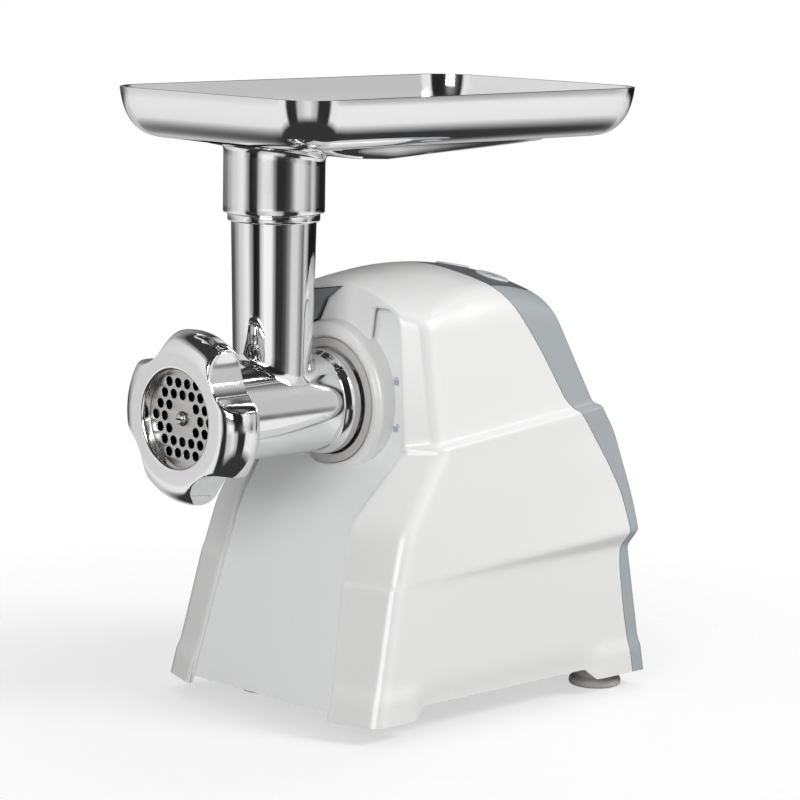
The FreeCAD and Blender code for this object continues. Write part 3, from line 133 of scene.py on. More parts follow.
# Plastics: colour, roughness, grain, and weight and roughness of a clear coat.
PLASTICS = {
    "white_plastic": ((0.80, 0.80, 0.795), 0.24, 0.02, (0.25, 0.12)),
    "panel_white": ((0.84, 0.85, 0.845), 0.32, 0.02, (0.2, 0.15)),
    "grey_plastic": ((0.36, 0.385, 0.40), 0.34, 0.05),
    "dark_plastic": ((0.13, 0.13, 0.135), 0.38, 0.06),
    "button_plastic": ((0.62, 0.63, 0.65), 0.3, 0.03),
    "smoked_plastic": ((0.10, 0.105, 0.11), 0.16, 0.01, (0.6, 0.05)),
    "socket_grey": ((0.50, 0.49, 0.485), 0.4, 0.04),
    "nylon": ((0.72, 0.70, 0.62), 0.45, 0.05),
    "carbon": ((0.03, 0.03, 0.032), 0.6, 0.1),
    "rubber": ((0.55, 0.54, 0.53), 0.55, 0.12),
    "circuit_board": ((0.03, 0.16, 0.07), 0.4, 0.05),
    "component": ((0.08, 0.09, 0.14), 0.35, 0.03),
    "print": ((0.20, 0.22, 0.26), 0.5, 0.01),
    "pale_print": ((0.40, 0.45, 0.53), 0.5, 0.01),
}

# Metals: colour, lowest and highest roughness, stretch of the streaks, depth and scale of the lines.
METALS = {
    "polished_metal": ((0.86, 0.86, 0.865), 0.05, 0.07, (1, 1, 0.3), 0.006, 40),
    "tray_metal": ((0.86, 0.86, 0.86), 0.07, 0.09, (0.15, 1, 1), 0.006, 40),
    "steel": ((0.62, 0.62, 0.61), 0.24, 0.38, (1, 1, 1), 0.05, 90),
    "cast_auger": ((0.60, 0.60, 0.61), 0.32, 0.48, (1, 1, 1), 0.12, 70),
    "lamination": ((0.30, 0.31, 0.33), 0.4, 0.55, (1, 40, 1), 0.3, 60),
    "copper": ((0.72, 0.33, 0.16), 0.28, 0.42, (30, 1, 30), 0.4, 80),
    "zinc": ((0.66, 0.66, 0.64), 0.3, 0.45, (1, 1, 1), 0.05, 120),
}

# Lights: place in metres, size and power.
LIGHTS = {
    "side_light": ((1.9, 1.2, 1.9), 1.0, 52),
    "front_light": ((1.1, -2.1, 0.8), 1.2, 27),
    "top_light": ((-0.6, 0.9, 2.2), 1.6, 9),
}

# Studio as the polished parts mirror it, near eye level, above and below: azimuth in degrees from +X,
# brightness.
AROUND = (
    (-180, 0.10), (-160, 0.40), (-145, 0.70), (-118, 0.95), (-104, 0.35), (-96, 0.01), (-83, 0.02),
    (-75, 0.70), (-66, 1.05), (-48, 1.00), (-40, 0.35), (-34, 0.03), (-20, 0.03), (-10, 0.08), (0, 0.28),
    (12, 0.75), (26, 0.72), (36, 0.42), (45, 0.18), (55, 0.70), (63, 0.40), (70, 0.01), (100, 0.01),
    (125, 0.05), (150, 0.06), (180, 0.10),
)
ABOVE = (
    (-180, 0.45), (-150, 0.75), (-112, 0.90), (-98, 0.02), (-62, 0.25), (-40, 0.02), (-4, 0.02), (6, 0.95),
    (28, 0.90), (42, 0.60), (58, 0.62), (72, 0.25), (84, 0.03), (125, 0.03), (150, 0.30), (180, 0.45),
)
BELOW = (
    (-180, 0.60), (-140, 0.92), (-116, 0.90), (-107, 0.03), (-84, 0.03), (-74, 0.60), (-46, 0.85),
    (-26, 0.55), (-16, 0.03), (12, 0.03), (22, 0.90), (46, 0.95), (72, 0.80), (110, 0.45), (180, 0.60),
)


# Outlines


def bend(before, corner, after, reach, steps=5):
    """Points of a smooth bend that replaces a corner."""
    to_before, to_after = before - corner, after - corner
    long_in, long_out = np.linalg.norm(to_before, axis=-1), np.linalg.norm(to_after, axis=-1)
    reach = np.minimum(reach, 0.46 * np.minimum(long_in, long_out))[..., None]
    start = corner + to_before / (long_in[..., None] + 1e-9) * reach
    end = corner + to_after / (long_out[..., None] + 1e-9) * reach
    shares = np.linspace(0, 1, steps)
    return [(1 - t) ** 2 * start + 2 * t * (1 - t) * corner + t**2 * end for t in shares]


def rounded_path(corners, closed=True, steps=5, flat=1):
    """Points along a path whose rows are coordinates and then the reach of the corner's bend."""
    table = np.array(corners, float)
    points, reaches = table[:, :-1], table[:, -1]
    count, path = len(points), []
    for i in range(count):
        ends = not closed and i in (0, count - 1)
        if ends or reaches[i] <= 0:
            path.append(points[i])
        else:
            path += bend(points[i - 1], points[i], points[(i + 1) % count], reaches[i], steps)
        if flat > 1 and (closed or i < count - 1):
            target = points[(i + 1) % count]
            nearest = min(reaches[(i + 1) % count], 0.46 * np.linalg.norm(target - points[i]))
            away = target - points[i]
            stop = target - away / np.linalg.norm(away) * nearest
            here = path[-1]
            path += [here + (stop - here) * k / flat for k in range(1, flat)]
    return np.array(path)


def smooth_steps(value, low, high):
    """0 below low, 1 above high, and a smooth rise between."""
    share = np.clip((value - low) / (high - low), 0, 1)
    return share * share * (3 - 2 * share)


def circle(radius, across=0, up=0, points=64):
    """Points round a circle."""
    turns = np.linspace(0, 2 * math.pi, points, endpoint=False)
    return np.stack((across + radius * np.cos(turns), up + radius * np.sin(turns)), axis=-1)


def ring_points(radius, start, stop, points):
    """Points of an arc about the origin between two angles in degrees."""
    turns = np.radians(np.linspace(start, stop, points))
    return [(radius * math.cos(t), radius * math.sin(t)) for t in turns]


def rectangle(half_width, low, high):
    """Outline of a rectangle that stands on the middle line."""
    return ((-half_width, low), (half_width, low), (half_width, high), (-half_width, high))


def mirrored(half):
    """A closed outline from its right half."""
    return np.concatenate((half, half[::-1] * (-1, 1)))


def outward(loop):
    """Directions that point out of a closed loop, seen along its normal."""
    along = np.roll(loop, -1, axis=0) - np.roll(loop, 1, axis=0)
    out = np.stack((along[:, 1], -along[:, 0]), axis=-1)
    return out / np.linalg.norm(out, axis=1)[:, None]


def at_height(outline, height):
    """A flat outline laid at a height."""
    return np.column_stack((outline, np.full(len(outline), float(height))))


# Meshes


def add_object(name, data):
    """An object in the scene for a mesh, a curve, a light or a camera."""
    thing = bpy.data.objects.new(name, data)
    bpy.context.scene.collection.objects.link(thing)
    return thing


def new_object(name, points, faces):
    """A mesh object from points in millimetres, cleaned of doubled points."""
    mesh = bpy.data.meshes.new(name)
    mesh.from_pydata((np.asarray(points) * MM).tolist(), [], faces)
    thing = add_object(name, mesh)
    clean(thing)
    return thing


def clean(thing, distance=0.00002):
    """Merge doubled points and turn the faces outwards."""
    work = bmesh.new()
    work.from_mesh(thing.data)
    bmesh.ops.remove_doubles(work, verts=work.verts, dist=distance)
    bmesh.ops.dissolve_degenerate(work, edges=work.edges, dist=distance / 4)
    bmesh.ops.recalc_face_normals(work, faces=work.faces)
    work.to_mesh(thing.data)
    work.free()


def shade(thing, angle=32):
    """Smooth shading that keeps edges sharper than an angle in degrees."""
    work = bmesh.new()
    work.from_mesh(thing.data)
    limit = math.radians(angle)
    for face in work.faces:
        face.smooth = True
    for edge in work.edges:
        edge.smooth = len(edge.link_faces) != 2 or edge.calc_face_angle(0) < limit
    work.to_mesh(thing.data)
    work.free()
    return thing


def grid_faces(rows, columns, wrap_rows=False, wrap_columns=True):
    """Quads of a grid of points that is stored row by row."""
    faces = []
    for row in range(rows if wrap_rows else rows - 1):
        below, above = row * columns, (row + 1) % rows * columns
        for column in range(columns if wrap_columns else columns - 1):
            after = (column + 1) % columns
            faces.append((below + column, below + after, above + after, above + column))
    return faces


def grid_object(name, grid, wrap_rows=False):
    """A mesh object from a grid of points whose rows are closed loops."""
    return new_object(name, grid.reshape(-1, 3), grid_faces(*grid.shape[:2], wrap_rows))


def lathe(name, profile, axis, segments=160, closed=True, flat=1, warp=None):
    """Turn a profile of radius, place and bend rows about an axis; warp may move the radii."""
    path = rounded_path(profile, closed, flat=flat)
    centre, direction = axis
    turns = np.linspace(0, 2 * math.pi, segments, endpoint=False)
    radius = np.repeat(path[:, :1], segments, axis=1)
    along = np.repeat(path[:, 1:2], segments, axis=1)
    if warp:
        radius = warp(radius, turns[None, :])
    across, up = radius * np.cos(turns), radius * np.sin(turns)
    parts = (across, along, up) if direction == "y" else (across, up, along)
    grid = np.stack(parts, axis=-1) + np.array(centre, float)
    return shade(grid_object(name, grid, wrap_rows=closed))


def stacked(name, rings):
    """A closed block from outlines with the same number of points, one above the other."""
    rows, count = len(rings), len(rings[0])
    last = (rows - 1) * count
    caps = [tuple(range(count)), tuple(range(last + count - 1, last - 1, -1))]
    return new_object(name, np.concatenate(rings), grid_faces(rows, count) + caps)


def prism(name, outline, plane, low, high):
    """A closed block from an outline in the XZ or YZ plane, between two places along its normal."""
    order = [0, 2, 1] if plane == "xz" else [2, 0, 1]
    return stacked(name, [at_height(outline, place)[:, order] for place in (low, high)])


def finished_mesh(thing):
    """The mesh that an object's curve or modifiers make."""
    depsgraph = bpy.context.evaluated_depsgraph_get()
    return bpy.data.meshes.new_from_object(thing.evaluated_get(depsgraph))


def settle(thing):
    """Replace the mesh by what its modifiers make, and drop them."""
    made = finished_mesh(thing)
    thing.modifiers.clear()
    thing.data = made
    return thing


def boolean(thing, cutter, operation="DIFFERENCE"):
    """Cut the mesh with another closed mesh, or keep what the two share."""
    modifier = thing.modifiers.new("boolean", "BOOLEAN")
    modifier.operation = operation
    modifier.solver = "MANIFOLD"
    modifier.object = cutter
    settle(thing)
    bpy.data.objects.remove(cutter)
    return thing


def copy_of(thing, name):
    """A second object with its own copy of the mesh."""
    return add_object(name, thing.data.copy())


def join(name, things):
    """Several mesh objects as one."""
    work = bmesh.new()
    for thing in things:
        work.from_mesh(thing.data)
        bpy.data.objects.remove(thing)
    mesh = bpy.data.meshes.new(name)
    work.to_mesh(mesh)
    work.free()
    return add_object(name, mesh)


def bevelled(thing, width, segments=3, angle=30):
    """Round the edges of a mesh that are sharper than an angle."""
    modifier = thing.modifiers.new("bevel", "BEVEL")
    modifier.width = width * MM
    modifier.segments = segments
    modifier.limit_method = "ANGLE"
    modifier.angle_limit = math.radians(angle)
    settle(thing)
    return shade(thing)


def add_spline(curve, points, closed=True):
    """Straight lines through points, as a new spline of a curve."""
    spline = curve.splines.new("POLY")
    spline.points.add(len(points) - 1)
    for point, (x, y) in zip(spline.points, points):
        point.co = (x * MM, y * MM, 0, 1)
    spline.use_cyclic_u = closed


def solid_curve(name, curve):
    """A mesh object from a curve."""
    shape = add_object(name + "_curve", curve)
    mesh = finished_mesh(shape)
    bpy.data.objects.remove(shape)
    return add_object(name, mesh)


# Housing


def roof_tables():
    """Crown height and crown radius along Y, smoothed between the arches."""
    places = np.arange(-130.0, 180.0, 1.0)
    arches = np.array(ROOF, float)
    reach = np.arange(-18, 19)
    weight = np.exp(-0.5 * (reach / 7.0) ** 2)
    weight /= weight.sum()
    tables = []
    for column in (1, 2):
        raw = np.interp(places, arches[:, 0], arches[:, column])
        padded = np.pad(raw, 18, mode="edge")
        tables.append(np.convolve(padded, weight, mode="valid"))
    return places, tables[0], tables[1]


ROOF_PLACES, ROOF_CROWN, ROOF_RADIUS = roof_tables()


def roof_height(x, y):
    """Height of the crowned roof over a point."""
    crown = np.interp(y, ROOF_PLACES, ROOF_CROWN)
    radius = np.interp(y, ROOF_PLACES, ROOF_RADIUS)
    return crown - radius + np.sqrt(radius**2 - np.minimum(np.abs(x), 90) ** 2)


def level_loop(level):
    """Closed outline of the housing at one level, with its upright corners rounded."""
    height, tilt, front, side, rear, _ = level
    turn = math.radians(tilt)
    half = [
        (front[0], front[1], 2.5), (side[0], side[1], 6.0), (rear[0], rear[1] - REAR_CHAMFER, 1.5),
        (rear[0] - REAR_CHAMFER, rear[1], 1.5),
    ]
    corners = half + [(-x, y, reach) for x, y, reach in reversed(half)]
    steps = (7, 44, 2, 28, 2, 44, 7, 26)
    points = np.array([(x, y) for x, y, _ in corners])
    loop = []
    for i, (_, _, reach) in enumerate(corners):
        after = (i + 1) % len(corners)
        arc = bend(points[i - 1], points[i], points[after], reach)
        arc_next = bend(points[i], points[after], points[(i + 2) % len(corners)], corners[after][2])
        loop += arc
        loop += [arc[-1] + (arc_next[0] - arc[-1]) * k / steps[i] for k in range(1, steps[i])]
    loop = np.array(loop)
    rise = height + loop[:, 1] * math.sin(turn)
    return np.stack((loop[:, 0], loop[:, 1] * math.cos(turn), rise), axis=-1)


def wall_grid():
    """Rows of points up the housing wall, with a soft bend at each level."""
    loops = [level_loop(level) for level in LEVELS]
    rows = [loops[0]]
    for k, steps in enumerate(LEVEL_STEPS):
        start = rows[-1]
        if k + 1 < len(loops) - 1:
            reach = np.full(len(start), float(LEVELS[k + 1][5]))
            arc = bend(loops[k], loops[k + 1], loops[k + 2], reach)
        else:
            arc = [loops[k + 1]]
        rows += [start + (arc[0] - start) * j / steps for j in range(1, steps)]
        rows += arc
    return np.array(rows)


def shape_legs(rows):
    """Stand the four leg corners a little proud and draw the wall in between them."""
    at_leg = 1 - smooth_steps(rows[:, :, 1], -52, -30) * (1 - smooth_steps(rows[:, :, 1], 96, 112))
    below = 1 - smooth_steps(rows[:, :, 2], 27.2, 29.4)
    near_floor = 1 - smooth_steps(rows[:, :, 2], 14, 34)
    at_front = smooth_steps(np.abs(rows[:, :, 0]), 58, 61)
    proud = 1.3 * at_leg * below * np.maximum(at_front, smooth_steps(rows[:, :, 1], 0, 20))
    drawn_in = 2.6 * (1 - at_leg) * near_floor
    shaped = rows.copy()
    shaped[:, :, :2] += outward(rows[0])[None] * (proud - drawn_in)[:, :, None]
    return shaped


def housing_grid():
    """Outer skin of the housing: wall rows, a round shoulder, and roof rows up to the ridge."""
    wall = shape_legs(wall_grid())
    ledge_row = int(np.argmax(wall[:, 0, 2] > 166.5)) + 2
    over = wall[:, :, 2] - roof_height(wall[:, :, 0], wall[:, :, 1])
    columns = wall.shape[1]
    upper_steps, roof_steps = 26, 26
    upper = np.zeros((upper_steps, columns, 3))
    edge = np.zeros((columns, 3))
    for column in range(columns):
        top = ledge_row + int(np.argmax(over[ledge_row:, column] > 0))
        low, high = over[top - 1, column], over[top, column]
        share = -low / (high - low)
        edge[column] = wall[top - 1, column] + (wall[top, column] - wall[top - 1, column]) * share
        path = np.concatenate((wall[ledge_row:top, column], edge[column][None]))
        reach = np.concatenate(([0], np.cumsum(np.linalg.norm(np.diff(path, axis=0), axis=1))))
        wanted = np.linspace(0, reach[-1], upper_steps)
        upper[:, column] = [[np.interp(w, reach, path[:, axis]) for axis in range(3)] for w in wanted]
    ridge = np.stack((np.zeros(columns), np.clip(edge[:, 1], -6, 58)), axis=-1)
    shares = np.linspace(0, 1, roof_steps) ** 1.15
    plan = edge[None, :, :2] * (1 - shares[:, None, None]) + ridge[None] * shares[:, None, None]
    roof = np.dstack((plan, roof_height(plan[:, :, 0], plan[:, :, 1])))
    rounding = 3.2 + 10.5 * smooth_steps(edge[:, 1], -24, 20)
    return np.concatenate((wall[:ledge_row], round_shoulder(upper, edge, roof, rounding)))


def round_shoulder(upper, edge, roof, rounding):
    """Join the wall and the roof rows through a bend of a given reach."""
    rows = []
    for side in (upper[:-1], roof[1:]):
        away = side - edge[None]
        distance = np.linalg.norm(away, axis=2)
        longest = distance.max(axis=0)
        lengths = rounding + (longest - rounding) * distance / longest
        rows.append(edge[None] + away * (lengths / np.maximum(distance, 1e-6))[:, :, None])
    wall_rows, roof_rows = rows
    roof_rows[:, :, 2] = roof_height(roof_rows[:, :, 0], roof_rows[:, :, 1])
    start, end = wall_rows[-1], roof_rows[0]
    shares = np.linspace(0, 1, 9)[1:-1]
    arc = [(1 - t) ** 2 * start + 2 * t * (1 - t) * edge + t**2 * end for t in shares]
    return np.concatenate((wall_rows, arc, roof_rows))


def front_depth(z):
    """Y of the housing's front face at a height, between the two facets."""
    return np.interp(z, [level[0] for level in LEVELS], [level[2][1] for level in LEVELS])


def recess_cutter():
    """Block of the front recess with a flared lip, which leaves a rounded edge on the housing."""
    outline = mirrored(rounded_path(RECESS, closed=False, flat=6))
    out = outward(outline)
    lip = 1.7
    rings = []
    for depth in (-9.0, -0.5, 0.1, 0.35, 0.75, 1.25, 1.8, 14.0):
        inside = min(max(depth / lip, 0), 1)
        grown = lip * (1 - math.sqrt(1 - (1 - inside) ** 2))
        ring = outline + out * grown
        rings.append(np.column_stack((ring[:, 0], front_depth(outline[:, 1]) + depth, ring[:, 1])))
    return stacked("recess_cutter", rings)


def seam_cutter(shift):
    """Block of everything behind the line between housing and rear cover."""
    line = rounded_path(SEAM, closed=False) + (shift, 0)
    outline = np.concatenate((line, ((190, 290), (190, 0), (138 + shift, 0))))
    return prism("seam_cutter", outline, "yz", -120, 120)


def panel_frame():
    """Place and tilt of the control panel on the roof."""
    place = Vector((0, PANEL_Y, float(roof_height(0.0, PANEL_Y)))) * MM
    return Matrix.Translation(place) @ Matrix.Rotation(math.radians(PANEL_TILT), 4, "X")


def panel_window(name, shrink):
    """Upright block with the control panel's rounded outline."""
    wide, front, rear = 52 - shrink, -32, 18 - shrink
    outline = rounded_path(((wide, front, 3), (wide, rear, 7), (-wide, rear, 7), (-wide, front, 3)))
    block = stacked(name, [at_height(outline, height) for height in (-12, 20)])
    block.data.transform(panel_frame())
    return block


def lever_outline(grown):
    """Outline of the release lever, moved outwards by a margin."""
    start, stop, radius = LEVER_ARC
    turns = np.radians(np.linspace(start, stop, 14))
    arc = np.stack((radius * np.cos(turns), AXIS_Z + radius * np.sin(turns)), axis=-1)
    top = rounded_path(LEVER_TOP, closed=False)
    outline = np.concatenate((arc, top))
    centre = outline.mean(axis=0)
    away = outline - centre
    distance = np.linalg.norm(away, axis=1)[:, None]
    return centre + away * (1 + grown / distance)


def notch(start, stop, shoulder, run, height):
    """Outline of the opening in the foot of a wall, between two legs."""
    return ((start, 0), (start, shoulder), (start + run, height),
            (stop - run, height), (stop, shoulder), (stop, 0))


def build_housing():
    """White housing, grey rear cover and dark control panel, cut from one skin."""
    seam_gap, wall, gap = 0.3, 2.2, 1.1
    white = grid_object("main_housing_shell", housing_grid())
    thick = white.modifiers.new("thickness", "SOLIDIFY")
    thick.thickness = wall * MM
    thick.offset = -1
    settle(white)

    cover = copy_of(white, "rear_cover_shell")
    boolean(cover, seam_cutter(seam_gap), "INTERSECT")
    dark = copy_of(cover, "control_panel_skin")
    boolean(cover, panel_window("window", 0))
    boolean(dark, panel_window("window", seam_gap), "INTERSECT")
    boolean(cover, prism("cord_seat", circle(9.5, -50, 40), "xz", 120, 160))

    boolean(white, seam_cutter(-seam_gap))
    boolean(white, recess_cutter())
    boolean(white, prism("lever_gap", lever_outline(gap), "xz", -60, 10))
    boolean(white, prism("side_notch", notch(-47, 108, 9, 9, 16.6), "yz", -120, 120))
    boolean(white, prism("front_notch", notch(-60, 60, 9, 4, 14), "xz", -120, -60))

    for thing in (white, cover, dark):
        clean(thing, 0.00001)
        shade(thing, 26)
    return white, cover, dark


def build_front_panel():
    """Recessed panel: a bent strip trimmed to the recess, with the socket's hole."""
    face = rounded_path(PANEL_FACE, closed=False, steps=9, flat=6)
    across = np.linspace(-63, 63, 43)
    front = np.array([[(x, y, z) for x in across] for y, z in face])
    sheet = np.concatenate((front, front[::-1] + (0, 2.4, 0)))
    rows, columns = sheet.shape[:2]
    half = rows // 2
    faces = grid_faces(rows, columns, wrap_rows=True, wrap_columns=False)
    for side in (0, columns - 1):
        edge = [row * columns + side for row in range(rows)]
        faces += [(edge[i], edge[i + 1], edge[rows - 2 - i], edge[rows - 1 - i]) for i in range(half - 1)]
    panel = new_object("front_panel_sheet", sheet.reshape(-1, 3), faces)
    outline = mirrored(rounded_path(PANEL_TRIM, closed=False))
    boolean(panel, prism("panel_trim", outline, "xz", -120, 20), "INTERSECT")
    boolean(panel, prism("socket_space", circle(37.6, 0, AXIS_Z, 128), "xz", -60, 20))
    boolean(panel, prism("lever_gap", lever_outline(1.1), "xz", -60, 10))
    clean(panel, 0.00001)
    return shade(panel, 30)


# Head


def about_head(thing, angle):
    """Move a piece made upright over the origin to its angle round the head's axis."""
    turn = Matrix.Rotation(math.radians(90 - angle), 4, "Y")
    thing.data.transform(Matrix.Translation((0, 0, AXIS_Z * MM)) @ turn)
    return thing


def build_barrel():
    """Barrel, bead and spigot with the bore through them, open where the feed tube stands."""
    profile = (
        (30.9, -143, 0.4), (34.2, -143, 0.6), (34.2, -127, 1), (28.4, -121, 2.5), (28.4, -45, 1.2),
        (29.6, -43.4, 1.2), (30.84, -41, 1.6), (30.84, -35, 1.6), (29.8, -32.6, 0.8), (28.9, -32.5, 0.2),
        (28.9, -17, 0.4), (24.6, -17, 0.4), (24.6, -131, 0.5), (30, -133, 0.5), (30.9, -139, 0.2),
    )
    barrel = lathe("barrel", profile, HEAD_AXIS, segments=192, flat=3)
    bore = circle(21.5, 0, TUBE_Y, 96)
    boolean(barrel, stacked("feed_space", [at_height(bore, AXIS_Z), at_height(bore, AXIS_Z + 40)]))
    clean(barrel, 0.00001)
    return shade(barrel, 35)


def tube_grid():
    """Feed tube wall with a fillet that runs out onto the barrel."""
    columns = 192
    turns = np.linspace(0, 2 * math.pi, columns, endpoint=False)
    fillet = 4.4
    low_radius, barrel_radius = 22.9, 28.25

    def on_barrel(radius):
        """Height of the barrel under a circle round the tube."""
        across = np.minimum(np.abs(radius * np.cos(turns)), barrel_radius - 0.4)
        return AXIS_Z + np.sqrt(barrel_radius**2 - across**2)

    def ring(radius, height):
        """Circle round the tube at a height."""
        points = (radius * np.cos(turns), TUBE_Y + radius * np.sin(turns), height * np.ones(columns))
        return np.stack(points, axis=-1)

    corner = ring(low_radius, on_barrel(low_radius))
    start = ring(low_radius + fillet, on_barrel(low_radius + fillet) - 0.1)
    end = ring(low_radius, on_barrel(low_radius) + fillet)
    rows = [(1 - t) ** 2 * start + 2 * t * (1 - t) * corner + t**2 * end for t in np.linspace(0, 1, 9)]
    profile = rounded_path((
        (24.5, 291, 0), (24.6, 291.2, 0.3), (26, 291, 0.3), (26.6, 291.8, 0.6), (26.6, 295, 0.6),
        (25.8, 295.8, 0.4), (25.1, 295.9, 0.2), (25.1, 329, 0.6), (21.5, 329, 0.6), (21.5, 200, 0),
    ), closed=False)
    top = ring(24.5, 290.6)
    rows += [end + (top - end) * k / 16 for k in range(1, 17)]
    rows += [ring(radius, height) for radius, height in profile]
    return np.array(rows)


def build_head():
    """Polished casting: barrel, feed tube and the three lugs inside the socket."""
    parts = [build_barrel(), shade(grid_object("tube", tube_grid()), 35)]
    for angle in (90, 210, 330):
        lug = about_head(prism("lug", rectangle(4.5, 28.2, 31.2), "xz", -21.7, -17), angle)
        parts.append(bevelled(lug, 0.5, 2))
    return shade(join("head_casting_shell", parts), 35)


def nut_warp(radius, turns):
    """Draw the nut's radius in where one of its four finger hollows lies."""
    bite_radius, bite_centre, soft, beyond = 24.0, 61.5, 1.1, 90
    result = radius
    for quarter in range(4):
        middle_turn = math.radians(32 + 90 * quarter)
        away = (turns - middle_turn + math.pi) % (2 * math.pi) - math.pi
        reach = (bite_centre * np.sin(away)) ** 2
        inside = (reach < bite_radius**2) & (np.abs(away) < 1)
        hollow = bite_centre * np.cos(away) - np.sqrt(np.maximum(bite_radius**2 - reach, 0))
        wall = np.where(inside, hollow, beyond)
        blend = -soft * np.log(np.exp(-(radius - 40) / soft) + np.exp(-(wall - 40) / soft)) + 40
        result = np.where(radius > 34.4, np.minimum(result, blend), result)
    return result


def build_nut():
    """Domed ring nut with four lobes."""
    profile = (
        (29.3, -150, 1.2), (41, -149.9, 3.5), (46.6, -146.2, 3.5), (49.4, -141, 3), (50, -136, 3),
        (49.2, -130.5, 3), (46.4, -126.4, 2.5), (41, -125, 1), (34.35, -125, 0.6), (34.35, -144.1, 0.3),
        (28, -144.1, 0.3), (28, -148.8, 0.8),
    )
    return lathe("ring_nut_shell", profile, HEAD_AXIS, segments=320, flat=8, warp=nut_warp)


def build_plate():
    """Perforated disc with chamfered holes and the stud's hole in the middle."""
    chamfer, thickness, pitch = 0.22, 5.0, 7.7
    curve = bpy.data.curves.new("plate_outline", "CURVE")
    curve.dimensions = "2D"
    curve.fill_mode = "BOTH"
    curve.extrude = (thickness / 2 - chamfer) * MM
    curve.bevel_depth = chamfer * MM
    curve.offset = -chamfer * MM
    curve.bevel_resolution = 2
    add_spline(curve, circle(30.9, points=128))
    add_spline(curve, circle(4.2, points=48))
    row_rise = pitch * math.sqrt(3) / 2
    for row in range(-3, 4):
        holes = 7 - abs(row)
        for column in range(holes):
            x, y = (column - (holes - 1) / 2) * pitch, row * row_rise
            if math.hypot(x, y) > 1.01 * pitch:
                add_spline(curve, circle(2.8, x, y, 36))
    plate = solid_curve("grinding_plate_disc", curve)
    place = Matrix.Translation((0, middle("grinding_plate", Y) * MM, AXIS_Z * MM))
    plate.data.transform(place @ Matrix.Rotation(math.radians(90), 4, "X"))
    clean(plate, 0.00001)
    return shade(plate, 40)


def build_stud():
    """Turned end of the auger's stud, with a slot across it."""
    profile = ((0, -147, 0), (2.4, -147, 0.7), (3.5, -145.8, 0.6), (3.5, -139, 0), (0, -139, 0))
    stud = lathe("auger_stud", profile, HEAD_AXIS, segments=64, closed=False)
    boolean(stud, prism("stud_slot", rectangle(5, AXIS_Z - 0.5, AXIS_Z + 0.5), "xz", -149, -146))
    return shade(stud)


def build_socket():
    """Domed white ring that the head plugs into."""
    profile = (
        (36.8, -16, 0), (36.8, -31.6, 0.8), (38.2, -33.2, 1.2), (42.4, -34.2, 3), (46.2, -32.6, 3),
        (47.9, -27, 3), (48.4, -16, 0),
    )
    return lathe("head_socket_ring", profile, HEAD_AXIS, flat=3)


def build_liner():
    """Grey bayonet liner whose front flange stands round the head's bead."""
    profile = (
        (31.7, -33, 0.4), (36.7, -33.1, 0.5), (36.7, -16.5, 0.2), (34.2, -16.5, 0.2), (34.2, -29.5, 0.5),
        (31.7, -30, 0.4),
    )
    return lathe("socket_liner_ring", profile, HEAD_AXIS, flat=3)


# Tray


def rectangle_loop(width, front, rear, corner, height):
    """Closed loop of a rounded rectangle with the same number of points at every size."""
    half = width / 2
    centres = ((half - corner, rear - corner), (-half + corner, rear - corner),
               (-half + corner, front + corner), (half - corner, front + corner))
    arc_steps, side_steps = 18, (16, 26, 16, 26)
    loop = []
    for i, centre in enumerate(centres):
        turns = np.linspace(math.pi / 2 * i, math.pi / 2 * (i + 1), arc_steps)
        arc = np.stack((centre[0] + corner * np.cos(turns), centre[1] + corner * np.sin(turns)), axis=-1)
        after = centres[(i + 1) % 4]
        turn = math.pi / 2 * (i + 1)
        end = np.array((after[0] + corner * math.cos(turn), after[1] + corner * math.sin(turn)))
        loop.extend(arc)
        loop.extend(arc[-1] + (end - arc[-1]) * k / side_steps[i] for k in range(1, side_steps[i]))
    loop = np.array(loop)
    return np.column_stack((loop, np.full(len(loop), height)))


def pan_loop(inset, height):
    """Outline of the tray's pan, moved inwards."""
    (left, right), (front, rear) = (span("hopper_tray", axis) for axis in (X, Y))
    return rectangle_loop(right - left - 2 * inset, front + inset, rear - inset, 24 - 0.55 * inset, height)


def pan_wall(inset):
    """Loops up the tray's wall, from its flat base through the long round bottom edge to the rim."""
    start = np.array((BASE_INSET, TRAY_BASE + inset))
    corner = np.array((2.5 + inset, TRAY_BASE + 0.4 + inset))
    end = np.array((inset, TRAY_RIM))
    shares = np.linspace(0, 1, 25)
    return [pan_loop(*((1 - t) ** 2 * start + 2 * t * (1 - t) * corner + t**2 * end)) for t in shares]


def well_floor(y):
    """Height of the underside of the tray's sunken floor."""
    return np.interp(y, *zip(*WELL_FLOOR))


def well_loop(inset, raised):
    """Outline of the sunken floor, moved inwards and raised by a share of the way to the base."""
    wide, front, rear, corner = WELL
    loop = rectangle_loop(wide - 2 * inset, front + inset, rear - inset, corner - inset, 0)
    floor = well_floor(loop[:, 1])
    loop[:, 2] = floor + (TRAY_BASE - floor) * raised
    return loop


def between(first, second, steps):
    """Loops that lead evenly from one loop to another, without those two."""
    return [first + (second - first) * k / steps for k in range(1, steps)]


